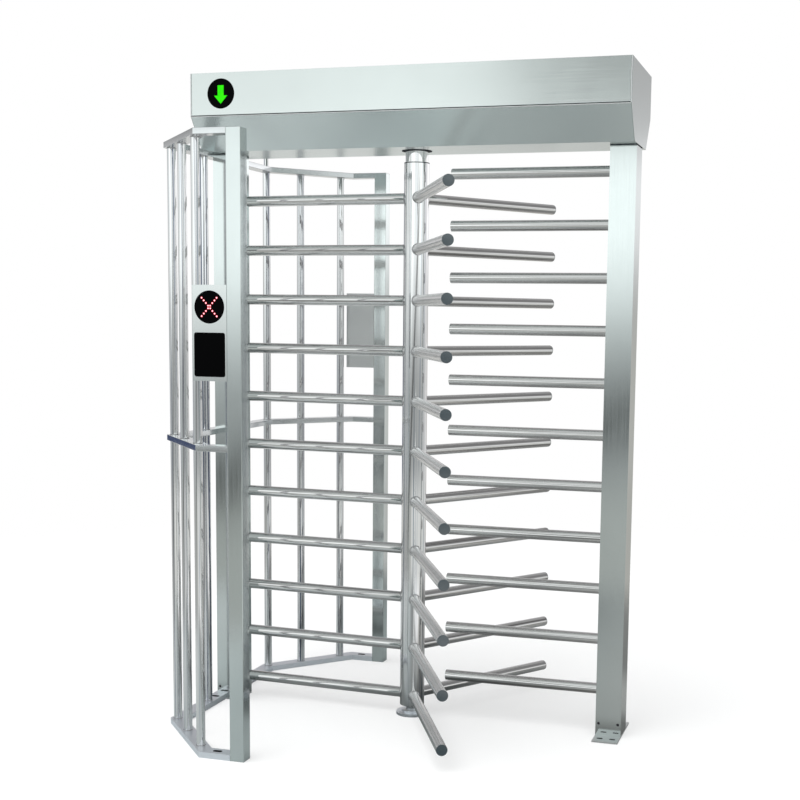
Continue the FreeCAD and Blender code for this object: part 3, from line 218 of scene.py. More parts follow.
# The lamp: one broad soft light above, a little in front and to the left, so wide that its
# shadows are only a breath on the floor. The steel doesn't mirror it.
sky = bpy.data.lights.new("sky", "SUN")
sky.energy = 2.9
sky.angle = math.radians(70)
above = bpy.data.objects.new("above", sky)
above.rotation_euler = (math.radians(22), math.radians(-14), 0)
above.visible_glossy = False
bpy.context.collection.objects.link(above)


# The floor: a pale disc that fades into the white paper on every side.
# The steel mirrors it as a grey floor, darker behind at the right and light in front at the right,
# with painted shade in a strip under the header.
floor_mesh = bpy.data.meshes.new("floor")
floor_shape = bmesh.new()
bmesh.ops.create_circle(floor_shape, cap_ends=True, segments=96, radius=14.0)
bmesh.ops.translate(floor_shape, verts=floor_shape.verts, vec=(0, 0, -0.0004))
floor_shape.to_mesh(floor_mesh)
floor_shape.free()
floor = bpy.data.objects.new("floor", floor_mesh)
bpy.context.collection.objects.link(floor)
floor_paint = bpy.data.materials.new("floor_paint")
floor_paint.use_nodes = True
paint = floor_paint.node_tree
paint.nodes.clear()
spot = paint.nodes.new("ShaderNodeTexCoord").outputs["Object"]
from_column = paint.nodes.new("ShaderNodeVectorMath")
from_column.operation = "LENGTH"
paint.links.new(spot, from_column.inputs[0])
aside = paint.nodes.new("ShaderNodeSeparateXYZ")
paint.links.new(spot, aside.inputs[0])
side_to_side = paint.nodes.new("ShaderNodeMapRange")
side_to_side.inputs["From Min"].default_value = -1.35
side_to_side.inputs["From Max"].default_value = 1.45
paint.links.new(aside.outputs["X"], side_to_side.inputs["Value"])
mirrored = ramp(paint, [(0.0, (0.50, 0.52, 0.52)), (0.125, (0.46, 0.49, 0.49)),
                        (0.25, (0.41, 0.44, 0.44)), (0.34, (0.42, 0.45, 0.45)),
                        (0.446, (0.32, 0.345, 0.345)), (0.53, (0.25, 0.265, 0.265)),
                        (0.58, (0.25, 0.26, 0.26)), (0.66, (0.33, 0.34, 0.335)),
                        (0.80, (0.41, 0.41, 0.40)), (1.0, (0.42, 0.415, 0.40))],
                side_to_side.outputs[0])
from_middle = sums(paint, "ABSOLUTE", aside.outputs["Y"], 0.0)
# Painted shade: the mirrored floor darkens in a strip under the header.
mirrored = mixed(paint, fade(paint, from_middle, 0.12, 0.32, 0.42, 0.0), mirrored, black)
front_right = patch(paint, (aside.outputs["X"], 0.75, 1.15), (aside.outputs["Y"], -0.3, -0.7))
mirrored = mixed(paint, front_right, mirrored, (0.80, 0.80, 0.80))
rear_right = patch(paint, (aside.outputs["X"], 0.3, 0.9, 0.0, 0.5), (aside.outputs["Y"], 0.5, 1.0))
mirrored = mixed(paint, rear_right, mirrored, black)
grey_floor = paint.nodes.new("ShaderNodeBsdfDiffuse")
paint.links.new(mirrored, grey_floor.inputs["Color"])
pale_floor = paint.nodes.new("ShaderNodeBsdfDiffuse")
pale_floor.inputs["Color"].default_value = (0.95, 0.95, 0.95, 1)
glow = paint.nodes.new("ShaderNodeEmission")
clear = paint.nodes.new("ShaderNodeBsdfTransparent")
away = from_column.outputs["Value"]
floor_in_steel = blended(paint, fade(paint, away, 2.0, 3.2), grey_floor.outputs[0],
                         clear.outputs[0])
floor_in_view = blended(paint, fade(paint, away, 1.6, 5.0),
                        blended(paint, 0.5, pale_floor.outputs[0], glow.outputs[0]),
                        clear.outputs[0])
camera_ray = paint.nodes.new("ShaderNodeLightPath").outputs["Is Camera Ray"]
paint.links.new(blended(paint, camera_ray, floor_in_steel, floor_in_view),
                paint.nodes.new("ShaderNodeOutputMaterial").inputs[0])
floor_mesh.materials.append(floor_paint)


# Floor disc: a turned stainless plate in two steps, bolted down under the column.
# Its faces are left satin from the lathe, and its edges are rounded a little.
def cloud(tree, place, scale, detail):
    """Noise at the given scale."""
    noise = tree.nodes.new("ShaderNodeTexNoise")
    noise.inputs["Scale"].default_value = scale
    noise.inputs["Detail"].default_value = detail
    noise.inputs["Roughness"].default_value = 0.6
    tree.links.new(place, noise.inputs["Vector"])
    return noise.outputs["Fac"]


def drawn_out(tree, place, stretch, turn):
    """The place with its pattern as fine as the stretch on each axis, turned about Z."""
    lay = tree.nodes.new("ShaderNodeMapping")
    lay.vector_type = "TEXTURE"
    lay.inputs["Rotation"].default_value = (0, 0, turn)
    lay.inputs["Scale"].default_value = tuple(1.0 / amount for amount in stretch)
    tree.links.new(place, lay.inputs["Vector"])
    return lay.outputs[0]


def finish(name, tint, roughness, stretch, grain=0.05, depth=0.00006, metallic=1.0, gloss=0.5,
           drift=0.05, turn=0.0, streaks=None):
    """A surface with fine grain and slow drift in tone and polish.

    The stretch is how fine the grain is on each axis, and the depth how far it stands up.
    A tube can also have streaks, faint drawing lines with painted reflections of the room in
    them: a stretch of their own, a dark tone and a paler one.
    """
    material = bpy.data.materials.new(name)
    material.use_nodes = True
    tree = material.node_tree
    skin = tree.nodes["Principled BSDF"]
    skin.inputs["Metallic"].default_value = metallic
    skin.inputs["Specular IOR Level"].default_value = gloss
    place = tree.nodes.new("ShaderNodeTexCoord").outputs["Object"]
    lines = cloud(tree, drawn_out(tree, place, stretch, turn), 1.0, 4.0)
    polish = fade(tree, lines, 0.25, 0.75, roughness - grain, roughness + grain)
    handled = sums(tree, "MULTIPLY_ADD", cloud(tree, place, 11.0, 3.0), grain * 1.6, -grain * 0.8)
    tree.links.new(sums(tree, "ADD", polish, handled), skin.inputs["Roughness"])
    darker = tuple(part * (1 - drift) for part in tint)
    lighter = tuple(min(1.0, part * (1 + drift * 0.7)) for part in tint)
    tone = ramp(tree, [(0.30, darker), (0.52, tint), (0.72, lighter)], cloud(tree, place, 2.4, 4.0))
    # The streaks darken the colour along the tube: painted reflections of the room's bands.
    if streaks:
        streak_stretch, dark, pale = streaks
        plain = (1.0, 1.0, 1.0)
        shades = ramp(tree, [(0.355, dark), (0.385, plain), (0.52, plain), (0.545, pale),
                             (0.57, plain)],
                      cloud(tree, drawn_out(tree, place, streak_stretch, turn), 1.0, 1.0))
        tone = mixed(tree, 1.0, tone, shades, "MULTIPLY")
    tree.links.new(tone, skin.inputs["Base Color"])
    ridge = tree.nodes.new("ShaderNodeBump")
    ridge.inputs["Strength"].default_value = 0.25
    ridge.inputs["Distance"].default_value = depth
    tree.links.new(lines, ridge.inputs["Height"])
    tree.links.new(ridge.outputs[0], skin.inputs["Normal"])
    return material


def show(name, shape, material, body, slot, *stands_for):
    """The finished mesh as one piece of the turnstile, lit evenly over its flats."""
    mesh = bpy.data.meshes.new(name)
    for face in shape.faces:
        face.smooth = True
    shape.to_mesh(mesh)
    shape.free()
    mesh.set_sharp_from_angle(angle=math.radians(38))
    mesh.materials.append(material)
    piece = bpy.data.objects.new(name, mesh)
    bpy.context.collection.objects.link(piece)
    even = piece.modifiers.new("even_light", "WEIGHTED_NORMAL")
    even.keep_sharp = True
    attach(piece, body)
    if stands_for:
        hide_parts(*stands_for)


def eased(node, width, steps=2):
    """The CAD solid's own shape with its triangles merged and its sharp edges broken."""
    shape = bmesh.new()
    shape.from_mesh(nodes[node].data)
    bmesh.ops.remove_doubles(shape, verts=shape.verts, dist=0.00001)
    bmesh.ops.dissolve_limit(shape, angle_limit=math.radians(0.5), verts=shape.verts,
                             edges=shape.edges, delimit=set())
    corners = [edge for edge in shape.edges
               if len(edge.link_faces) == 2 and edge.calc_face_angle(0) > math.radians(25)]
    bmesh.ops.bevel(shape, geom=corners, offset=width, offset_type="OFFSET", affect="EDGES",
                    segments=steps, profile=0.5, material=-1, clamp_overlap=True)
    bmesh.ops.dissolve_degenerate(shape, edges=shape.edges, dist=0.000005)
    return shape


lathe_steel = finish("lathe_steel", (0.86, 0.89, 0.93), roughness=0.34, stretch=(500, 500, 500))
show("floor_disc", eased("floor_plate", width=0.0008), lathe_steel, "frame", "floor_steel",
     "floor_plate")


# Posts and their feet: stainless box section with an upright brushed grain.
# The corners are slightly round, and small screws hold each post over the upstand of its foot.
upright_steel = finish("upright_steel", (0.66, 0.705, 0.70), roughness=0.10, stretch=(700, 700, 5),
                       grain=0.025)
for node in ("right_post", "left_post"):
    show(node + "_sheet", eased(node, width=0.0018, steps=3), upright_steel, "frame",
         "satin_steel", node)
# The feet are tinted paler than the posts: painted light, so that they look lit.
foot_steel = finish("foot_steel", (0.80, 0.82, 0.82), roughness=0.45, stretch=(700, 30, 700))
for node in ("right_post_foot", "left_post_foot"):
    show(node + "_sheet", eased(node, width=0.0006), foot_steel, "frame", "satin_steel", node)


# Button-head screws: blackened ones through the post feet, bright zinc ones along the back of
# the header. Each is a low head that narrows outwards, with a small six-sided rise for its socket.
def button_head(shape, centre, out):
    """One screw head that stands on the centre and points out."""
    radius = 0.005
    height = 0.0025
    narrowing = 0.62
    socket_radius = 0.36 * radius
    socket_rise = 0.30 * height
    made = bmesh.ops.create_cone(shape, cap_ends=True, segments=24, radius1=radius,
                                 radius2=radius * narrowing, depth=height)["verts"]
    socket = bmesh.ops.create_cone(shape, cap_ends=True, segments=6, radius1=socket_radius,
                                   radius2=socket_radius, depth=height / 2)["verts"]
    bmesh.ops.translate(shape, verts=socket, vec=(0, 0, socket_rise))
    turn = out.to_track_quat("Z", "Y").to_matrix().to_4x4()
    place = Matrix.Translation(centre + out * height / 2) @ turn
    bmesh.ops.transform(shape, matrix=place, verts=made + socket)


foot_screw_inset = 0.011
foot_screw_height = 0.048
post_heads = bmesh.new()
for node in ("right_post", "left_post"):
    post_low, post_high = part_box(node)
    for across in (post_low.x + foot_screw_inset, post_high.x - foot_screw_inset):
        for side in (-1, 1):
            button_head(post_heads, Vector((across, side * post_high.y, foot_screw_height)),
                        Vector((0, side, 0)))
blackened = finish("blackened", (0.035, 0.035, 0.04), roughness=0.42, stretch=(300, 300, 300),
                   metallic=0.6)
show("post_foot_screw_heads", post_heads, blackened, "frame", "zinc_plate", "post_foot_screws")
cover_screw_pitch = 0.25
cover_low, cover_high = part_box("header_cover")
row_low, row_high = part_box("cover_screws")
cover_heads = bmesh.new()
for index in range(-3, 3):
    button_head(cover_heads, Vector(((index + 0.5) * cover_screw_pitch, cover_high.y,
                                     (row_low.z + row_high.z) / 2)), Vector((0, 1, 0)))
bright_zinc = finish("bright_zinc", (0.55, 0.57, 0.58), roughness=0.28, stretch=(300, 300, 300))
show("cover_screw_heads", cover_heads, bright_zinc, "frame", "zinc_plate", "cover_screws")


# Header casing: a bent tray with two bevels, a cover with the fascias, and two end plates.
# Brushed stainless with the grain running along the header; the tray's paler tint is a painted
# reflection. A rolled hem, near white as a painted highlight, and a dark rod above it, painted
# shade for the gap, run along the seam and up both ends of each fascia.
fascia_steel = finish("fascia_steel", (0.66, 0.70, 0.69), roughness=0.15, stretch=(4, 700, 700),
                      grain=0.03, drift=0.03)
# The tray is tinted paler than the cover: a painted reflection, so that its bevels look lit.
tray_steel = finish("tray_steel", (0.76, 0.825, 0.82), roughness=0.25, stretch=(4, 700, 700),
                    grain=0.012, depth=0.00001, drift=0.03)
show("header_cover_sheet", eased("header_cover", width=0.0006), fascia_steel, "frame",
     "satin_steel", "header_cover")
show("header_tray_sheet", eased("header_tray", width=0.0005), tray_steel, "frame", "satin_steel",
     "header_tray")


def seam_rod(shape, radius, length, place):
    """One thin round rod of the seam, made upright and moved to its place."""
    made = bmesh.ops.create_cone(shape, cap_ends=True, segments=20, radius1=radius,
                                 radius2=radius, depth=length)["verts"]
    bmesh.ops.transform(shape, verts=made, matrix=place)


seam_shift = -0.0015
top_clearance = 0.0005
hem = bmesh.new()
# The dark rods of the gap are painted shade, standing in for its shadow.
gap_shade = bmesh.new()
seam_length = cover_high.x - cover_low.x
seam_middle = (cover_low.x + cover_high.x) / 2 + seam_shift
for shape, radius, sunk, rise in ((hem, 0.0018, 0.0007, -0.0025), (gap_shade, 0.0013, 0.0006, 0.0008)):
    for side in (-1, 1):
        place = Vector((seam_middle, side * (cover_high.y - sunk), cover_low.z + rise))
        seam_rod(shape, radius, seam_length,
                 Matrix.Translation(place) @ Matrix.Rotation(math.pi / 2, 4, "Y"))
fascia_height = cover_high.z - cover_low.z - top_clearance
for shape, radius, proud in ((hem, 0.0016, 0.0007), (gap_shade, 0.0026, -0.0010)):
    for side in (-1, 1):
        for end in (cover_low.x, cover_high.x):
            place = Vector((end, side * (cover_high.y + proud), cover_low.z + fascia_height / 2))
            seam_rod(shape, radius, fascia_height, Matrix.Translation(place))
# The hem's near-white tint is a painted highlight along the seam and up the fascia ends.
hem_highlight_steel = finish("hem_highlight_steel", (0.96, 0.975, 0.97), roughness=0.40, stretch=(300, 300, 300),
                   grain=0.03)
# Dark matt: the joints under the header, and painted shade in the hem's gap and the column's seam.
joint_and_shade_line = finish("joint_and_shade_line", (0.016, 0.022, 0.030), roughness=0.60, stretch=(300, 300, 300),
                    metallic=0.0, gloss=0.1)
show("header_hem", hem, hem_highlight_steel, "frame", "satin_steel")
show("header_hem_shadow", gap_shade, joint_and_shade_line, "frame", "satin_steel")
for node in ("header_end_plate_left", "header_end_plate_right"):
    show(node + "_sheet", eased(node, width=0.0009), fascia_steel, "frame", "satin_steel", node)


# Joints under the header: a thin dark line round the top of each post, and a dark
# rim round the hole that the rotor's shaft collar passes through.
dark_band_height = 0.0030
dark_band_lip = 0.0007
dark_band_drop = 0.0002
post_lines = bmesh.new()
for node in ("right_post", "left_post"):
    post_low, post_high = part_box(node)
    middle = (post_low + post_high) / 2
    middle.z = post_high.z - dark_band_drop - dark_band_height / 2
    width = post_high.x - post_low.x + 2 * dark_band_lip
    depth = post_high.y - post_low.y + 2 * dark_band_lip
    made = bmesh.ops.create_cube(post_lines, size=1.0)["verts"]
    bmesh.ops.transform(post_lines, verts=made, matrix=Matrix.Translation(middle)
                        @ Matrix.Diagonal((width, depth, dark_band_height, 1)))
show("post_top_lines", post_lines, joint_and_shade_line, "frame", "satin_steel")
rim_outside = 0.0535
rim_inside = 0.0425
rim_thickness = 0.0012
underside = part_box("header_tray")[0].z
hole_rim = bmesh.new()
for radius in (rim_outside, rim_inside):
    bmesh.ops.create_circle(hole_rim, segments=64, radius=radius)
bmesh.ops.bridge_loops(hole_rim, edges=hole_rim.edges[:])
extruded = bmesh.ops.extrude_face_region(hole_rim, geom=hole_rim.faces[:])["geom"]
raised = [item for item in extruded if isinstance(item, bmesh.types.BMVert)]
bmesh.ops.translate(hole_rim, verts=raised, vec=(0, 0, rim_thickness))
bmesh.ops.recalc_face_normals(hole_rim, faces=hole_rim.faces)
bmesh.ops.translate(hole_rim, verts=hole_rim.verts,
                    vec=(0, 0, underside - dark_band_drop - rim_thickness))
show("shaft_hole_rim", hole_rim, joint_and_shade_line, "frame", "satin_steel")


# Comb: eleven polished tubes welded to the right post, each closed at its free end.
# Long dark lines run along the tubes: faint drawing lines, and painted reflections of the room.
def round_bar(shape, start, length, radius, rim=0.0):
    """One round bar lying along X from its start, with its two rims eased where asked."""
    made = bmesh.ops.create_cone(shape, cap_ends=True, segments=56, radius1=radius,
                                 radius2=radius, depth=length)["verts"]
    if rim:
        rims = {edge for vert in made for edge in vert.link_edges
                if abs(edge.verts[0].co.z - edge.verts[1].co.z) < 1e-7}
        eased_rim = bmesh.ops.bevel(shape, geom=list(rims), offset=rim, offset_type="OFFSET",
                                    affect="EDGES", segments=2, profile=0.5, material=-1)
        made = list({vert for vert in made if vert.is_valid} | set(eased_rim["verts"]))
    lay = Matrix.Translation(start) @ Matrix.Rotation(math.pi / 2, 4, "Y")
    bmesh.ops.transform(shape, matrix=lay @ Matrix.Translation((0, 0, length / 2)), verts=made)
    return made


def weld_bead(shape, radius, size, segments=48):
    """A round of weld about a bar that lies along X, at the origin."""
    made = bmesh.ops.create_circle(shape, segments=8, radius=size,
                                   matrix=Matrix.Translation((0, 0, radius))
                                   @ Matrix.Rotation(math.pi / 2, 4, "X"))["verts"]
    edges = list({edge for vert in made for edge in vert.link_edges})
    bmesh.ops.spin(shape, geom=made + edges, cent=(0, 0, 0), axis=(1, 0, 0), dvec=(0, 0, 0),
                   steps=segments, angle=2 * math.pi, use_merge=True)
    newest = set(made)
    bead = set(made)
    while newest:
        newest = {edge.other_vert(vert) for vert in newest for edge in vert.link_edges} - bead
        bead |= newest
    return list(bead)


bar_radius = 0.019
bar_count = 11
bar_weld = 0.0022
comb_low, comb_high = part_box("comb_bars")
comb_bottom = comb_low.z + bar_radius
bar_pitch = (comb_high.z - bar_radius - comb_bottom) / (bar_count - 1)
# Painted reflections: dark and pale streaks along the tubes, with faint drawing lines in them.
line_and_reflection_streaks = ((0.5, 110, 110), (0.55, 0.54, 0.54), (0.84, 0.84, 0.84))
bar_steel = finish("bar_steel", (0.80, 0.795, 0.79), roughness=0.06, stretch=(1.5, 500, 500),
                   grain=0.015, depth=0.00001, streaks=line_and_reflection_streaks)
weld_steel = finish("weld_steel", (0.50, 0.50, 0.51), roughness=0.30, stretch=(420, 420, 420),
                    grain=0.10, depth=0.00025)
comb = bmesh.new()
comb_welds = bmesh.new()
for row in range(bar_count):
    height = comb_bottom + row * bar_pitch
    round_bar(comb, Vector((comb_low.x, 0, height)), comb_high.x - comb_low.x, bar_radius,
              rim=0.0010)
    made = weld_bead(comb_welds, bar_radius, bar_weld)
    bmesh.ops.translate(comb_welds, verts=made, vec=(comb_high.x, 0, height))
bmesh.ops.recalc_face_normals(comb_welds, faces=comb_welds.faces)
show("comb_welds", comb_welds, weld_steel, "frame", "polished_tube")
show("comb_tubes", comb, bar_steel, "frame", "polished_tube", "comb_bars")


# Column: one polished tube that stands on the floor pin and turns under the header.
# A dark ring round its top is painted shade in the seam at the shoulder, where the narrower
# collar of the shaft goes in.
column_radius = 0.0445
# Its dark and pale streaks are painted reflections of the room.
column_steel = finish("column_steel", (0.80, 0.80, 0.80), roughness=0.06, stretch=(500, 500, 1.5),
                      grain=0.015, depth=0.00001,
                      streaks=((80, 80, 0.25), (0.45, 0.50, 0.55), (0.72, 0.75, 0.80)))
column_low, column_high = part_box("rotor_column")
column = bmesh.new()
made = bmesh.ops.create_cone(column, cap_ends=True, segments=96, radius1=column_radius,
                             radius2=column_radius, depth=column_high.z - column_low.z)["verts"]
bmesh.ops.translate(column, verts=made, vec=(0, 0, (column_low.z + column_high.z) / 2))
rims = [edge for edge in column.edges if abs(edge.verts[0].co.z - edge.verts[1].co.z) < 1e-7]
bmesh.ops.bevel(column, geom=rims, offset=0.001, offset_type="OFFSET", affect="EDGES",
                segments=2, profile=0.5, material=-1)
show("column_tube", column, column_steel, "rotor", "polished_tube", "rotor_column")
# A dark band that stands in for the shade in the seam.
shoulder_radius = column_radius + 0.0002
shoulder_height = 0.0026
shoulder_drop = 0.0028
shoulder = bmesh.new()
made = bmesh.ops.create_cone(shoulder, cap_ends=True, segments=96, radius1=shoulder_radius,
                             radius2=shoulder_radius, depth=shoulder_height)["verts"]
bmesh.ops.translate(shoulder, verts=made, vec=(0, 0, column_high.z - shoulder_drop))
show("column_shoulder_shade", shoulder, joint_and_shade_line, "rotor", "polished_tube")


# Wings: three wings of eleven tubes, each tube saddled to the column and welded round.
# A dark moulded cap with a rounded rim closes the end of each tube.
def column_side(across):
    """How far out the column's side stands at this distance across it."""
    return math.sqrt(column_radius ** 2 - across ** 2)


arm_reach = 0.671
cap_depth = 0.003
cap_bulge = 0.0003
cap_gap = 0.0006
cap_steps = 5
arm_weld = 0.0024
saddle_bite = 0.0003
front_wing_degrees = -63.5
arm_end = arm_reach - cap_depth
arms_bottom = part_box("wing_a_arms")[0].z + bar_radius
cap_moulding = finish("cap_moulding", (0.004, 0.024, 0.036), roughness=0.20,
                      stretch=(260, 260, 260), metallic=0.0, gloss=1.0)
cap_moulding.node_tree.nodes["Principled BSDF"].inputs["IOR"].default_value = 1.70
# Wing a, at the front in the photograph, looks duller there than the other two.
# Its streaks are painted reflections too, only fainter.
faint_line_and_reflection_streaks = ((0.5, 110, 110), (0.81, 0.80, 0.80), (0.93, 0.93, 0.93))
for index, (letter, roughness, streaks) in enumerate((("a", 0.22, faint_line_and_reflection_streaks),
                                                      ("b", 0.06, line_and_reflection_streaks),
                                                      ("c", 0.06, line_and_reflection_streaks))):
    heading = math.radians(front_wing_degrees + 120 * index)
    swing = Matrix.Rotation(heading, 4, "Z")
    wing_steel = finish("wing_%s_steel" % letter, (0.80, 0.795, 0.79), roughness=roughness,
                        stretch=(1.5, 500, 500), grain=0.015, depth=0.00001, turn=heading,
                        streaks=streaks)
    arms = bmesh.new()
    caps = bmesh.new()
    welds = bmesh.new()
    for row in range(bar_count):
        height = arms_bottom + row * bar_pitch
        made = round_bar(arms, Vector((0, 0, 0)), arm_end, bar_radius)
        for vert in made:
            if vert.co.x < bar_radius:
                vert.co.x = column_side(vert.co.y) - saddle_bite
        bmesh.ops.translate(arms, verts=made, vec=(0, 0, height))
        outline = [caps.verts.new((0, 0, 0)), caps.verts.new((0, 0, bar_radius))]
        for step in range(cap_steps + 1):
            ring = (bar_radius - cap_gap) * (1 - step / cap_steps)
            face = cap_depth - cap_bulge * (ring / bar_radius) ** 2
            outline.append(caps.verts.new((face, 0, ring)))
        edges = [caps.edges.new(pair) for pair in zip(outline, outline[1:])]
        bmesh.ops.spin(caps, geom=outline + edges, cent=(0, 0, 0), axis=(1, 0, 0),
                       dvec=(0, 0, 0), steps=56, angle=2 * math.pi, use_merge=True)
        # The cap is made at the origin, so its points are the ones still near there.
        made = [vert for vert in caps.verts if vert.co.length < 2 * bar_radius]
        bmesh.ops.translate(caps, verts=made, vec=(arm_end, 0, height))
        made = weld_bead(welds, bar_radius, arm_weld)
        for vert in made:
            vert.co.x += column_side(vert.co.y)
        bmesh.ops.translate(welds, verts=made, vec=(0, 0, height))
    bmesh.ops.recalc_face_normals(welds, faces=welds.faces)
    bmesh.ops.remove_doubles(caps, verts=caps.verts, dist=0.000001)
    bmesh.ops.recalc_face_normals(caps, faces=caps.faces)
    for shape in (welds, arms, caps):
        bmesh.ops.transform(shape, matrix=swing, verts=shape.verts)
    show("wing_%s_welds" % letter, welds, weld_steel, "rotor", "polished_tube")
    show("wing_%s_tubes" % letter, arms, wing_steel, "rotor", "polished_tube",
         "wing_%s_arms" % letter)
    show("wing_%s_end_caps" % letter, caps, cap_moulding, "rotor", "cap_plastic",
         "wing_%s_caps" % letter)


# Anchor slots: round-ended holes for the floor bolts, in the bottom hoop and the right foot.
# They show as dark bars, a little larger than the holes that they fill: painted shade.
def painted_slot_shade(shape, centre, long, wide, top):
    """Painted shade inside one slot: a dark flat bar with round ends, long across X."""
    sides = 24
    bottom = 0.0005
    made = bmesh.ops.create_cone(shape, cap_ends=True, segments=sides, radius1=wide / 2,
                                 radius2=wide / 2, depth=top - bottom,
                                 matrix=Matrix.Rotation(math.pi / sides, 4, "Z"))["verts"]
    for vert in made:
        vert.co.x += math.copysign((long - wide) / 2, vert.co.x)
    bmesh.ops.translate(shape, verts=made, vec=(*centre, (top + bottom) / 2))


hoop_slot_shade = (0.0330, 0.0165)
foot_slot_shade = (0.0212, 0.0108)
slot_shade_proud = 0.0003
hoop_half_width = 0.025
corner_run = 0.270
side_slot = 0.095
hoop_low, hoop_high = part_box("hoop_bottom")
side_line = hoop_low.x + hoop_half_width
end_line = hoop_high.y - hoop_half_width
corner_across = hoop_low.x + corner_run
end_slot = (hoop_high.x + corner_across) / 2
slot_shades = bmesh.new()
for centre in ((end_slot, -end_line), (end_slot, end_line), (side_line, -side_slot),
               (side_line, side_slot)):
    painted_slot_shade(slot_shades, centre, *hoop_slot_shade, hoop_high.z + slot_shade_proud)
foot_low, foot_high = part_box("right_post_foot")
foot_plate = 0.006
foot_slot_inset = 0.032
foot_slot_spacing = 0.044
for shift in (-foot_slot_spacing / 2, foot_slot_spacing / 2):
    for side in (-1, 1):
        centre = ((foot_low.x + foot_high.x) / 2 + shift, side * (foot_high.y - foot_slot_inset))
        painted_slot_shade(slot_shades, centre, *foot_slot_shade, foot_plate + slot_shade_proud)
# Near black for the painted shade in the slots.
slot_shade_black = finish("slot_shade_black", (0.006, 0.006, 0.008), roughness=0.70, stretch=(300, 300, 300),
                    metallic=0.0, gloss=0.1)
show("anchor_slot_shades", slot_shades, slot_shade_black, "frame", "lens_black")


# Cage: three hoops of flat bar, mitred and welded at their corners, between two square posts.
# The hoops are brushed along their length, and the bottom one is paler and more matt.
hoop_steel = finish("hoop_steel", (0.70, 0.72, 0.73), roughness=0.16, stretch=(90, 90, 700),
                    grain=0.035)
low_hoop_steel = finish("low_hoop_steel", (0.88, 0.90, 0.95), roughness=0.40,
                        stretch=(90, 90, 700), grain=0.04, depth=0.00003)
for node, steel in (("hoop_bottom", low_hoop_steel), ("hoop_middle", hoop_steel),
                    ("hoop_top", hoop_steel)):
    show(node + "_flat", eased(node, width=0.0012), steel, "frame", "hoop_steel", node)
for node in ("cage_post_front", "cage_post_rear"):
    show(node + "_tube", eased(node, width=0.0022, steps=3), upright_steel, "frame",
         "satin_steel", node)


# Cage tubes: thin polished uprights on the hoops' centre line, welded above and below.
# Each half of the cage has one on its side run, one at the corner and two on its slanting run.
# The conduit that goes up into the header behind them has the same polish.
def clad(material, *members):
    """CAD pieces that show with their own solids, in the given surface."""
    for member in members:
        nodes[member].data.materials.clear()
        nodes[member].data.materials.append(material)


tube_radius = 0.015
tube_near = 0.058
tube_far = 0.240
side_tube = 0.152
tube_weld = 0.0018
corner_depth = 0.309
slant_angle = math.atan2(corner_depth, corner_run)
side_mitre = (math.pi / 2 - slant_angle) / 2
slant_start = corner_across + hoop_half_width * math.tan(slant_angle / 2)
side_end = hoop_high.y - corner_depth - hoop_half_width * math.tan(side_mitre)
tube_spots = [(side_line, side_end), (side_line, side_tube)]
for distance in (tube_near, tube_far):
    tube_spots.append((slant_start - distance * math.cos(slant_angle),
                       end_line - distance * math.sin(slant_angle)))
# Its dark blue streaks are painted reflections of the room's dark blue band.
cage_steel = finish("cage_steel", (0.82, 0.82, 0.82), roughness=0.06, stretch=(500, 500, 1.5),
                    grain=0.015, depth=0.00001,
                    streaks=((210, 210, 0.25), (0.12, 0.15, 0.24), (0.46, 0.51, 0.62)))
cage_welds = bmesh.new()
for name in ("lower", "upper"):
    span_low, span_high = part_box("cage_tubes_" + name)
    uprights = bmesh.new()
    for across, along in tube_spots:
        for side in (-1, 1):
            made = bmesh.ops.create_cone(uprights, cap_ends=True, segments=48,
                                         radius1=tube_radius, radius2=tube_radius,
                                         depth=span_high.z - span_low.z)["verts"]
            bmesh.ops.translate(uprights, verts=made,
                                vec=(across, side * along, (span_high.z + span_low.z) / 2))
            for height in (span_low.z, span_high.z):
                made = weld_bead(cage_welds, tube_radius, tube_weld, 40)
                bmesh.ops.transform(cage_welds, verts=made, matrix=Matrix.Translation(
                    (across, side * along, height)) @ Matrix.Rotation(math.pi / 2, 4, "Y"))
    show("cage_uprights_" + name, uprights, cage_steel, "frame", "polished_tube",
         "cage_tubes_" + name)
bmesh.ops.recalc_face_normals(cage_welds, faces=cage_welds.faces)
show("cage_tube_welds", cage_welds, weld_steel, "frame", "polished_tube")
clad(cage_steel, "cable_conduit")


# Reader boxes: a sheet housing on each cage post with a satin front panel.
# The panel carries a round smoked lens over red lamps and a smoked window over the reader.
box_steel = finish("box_steel", (0.72, 0.73, 0.73), roughness=0.42, stretch=(6, 6, 700),
                   grain=0.04, depth=0.00003)
panel_steel = finish("panel_steel", (0.69, 0.72, 0.715), roughness=0.12, stretch=(700, 700, 6),
                     grain=0.03)
smoked = finish("smoked_lens", (0.0015, 0.0015, 0.0017), roughness=0.24, stretch=(900, 900, 900),
                depth=0.00003, metallic=0.0, gloss=0.02)
show("reader_box_sheets", eased("reader_housings", width=0.0010), box_steel, "frame", "satin_steel",
     "reader_housings")
show("reader_box_fronts", eased("reader_panels", width=0.0005), panel_steel, "frame", "satin_steel",
     "reader_panels")
show("reader_window_lenses", eased("reader_windows", width=0.0005), smoked, "frame", "lens_black",
     "reader_windows")
show("stop_sign_lenses", eased("stop_lenses", width=0.0004), smoked, "frame", "lens_black",
     "stop_lenses")


# Stop signs: sixteen red lamps in the shape of an X on each round lens, all of them lit.
# Each is a flattened bead of clear red, with a thin disc of dark red glow behind it.
def lamp(name, first, second, strength, base, scale):
    """A lit lamp with a slightly uneven glow."""
    material = bpy.data.materials.new(name)
    material.use_nodes = True
    tree = material.node_tree
    skin = tree.nodes["Principled BSDF"]
    skin.inputs["Roughness"].default_value = 0.30
    skin.inputs["Specular IOR Level"].default_value = 0.1
    skin.inputs["Emission Strength"].default_value = strength
    place = tree.nodes.new("ShaderNodeTexCoord").outputs["Object"]
    glowing = ramp(tree, [(0.35, first), (0.65, second)], cloud(tree, place, scale, 2.0))
    tree.links.new(glowing, skin.inputs["Emission Color"])
    tree.links.new(mixed(tree, 1.0, glowing, base, "MULTIPLY"), skin.inputs["Base Color"])
    return material


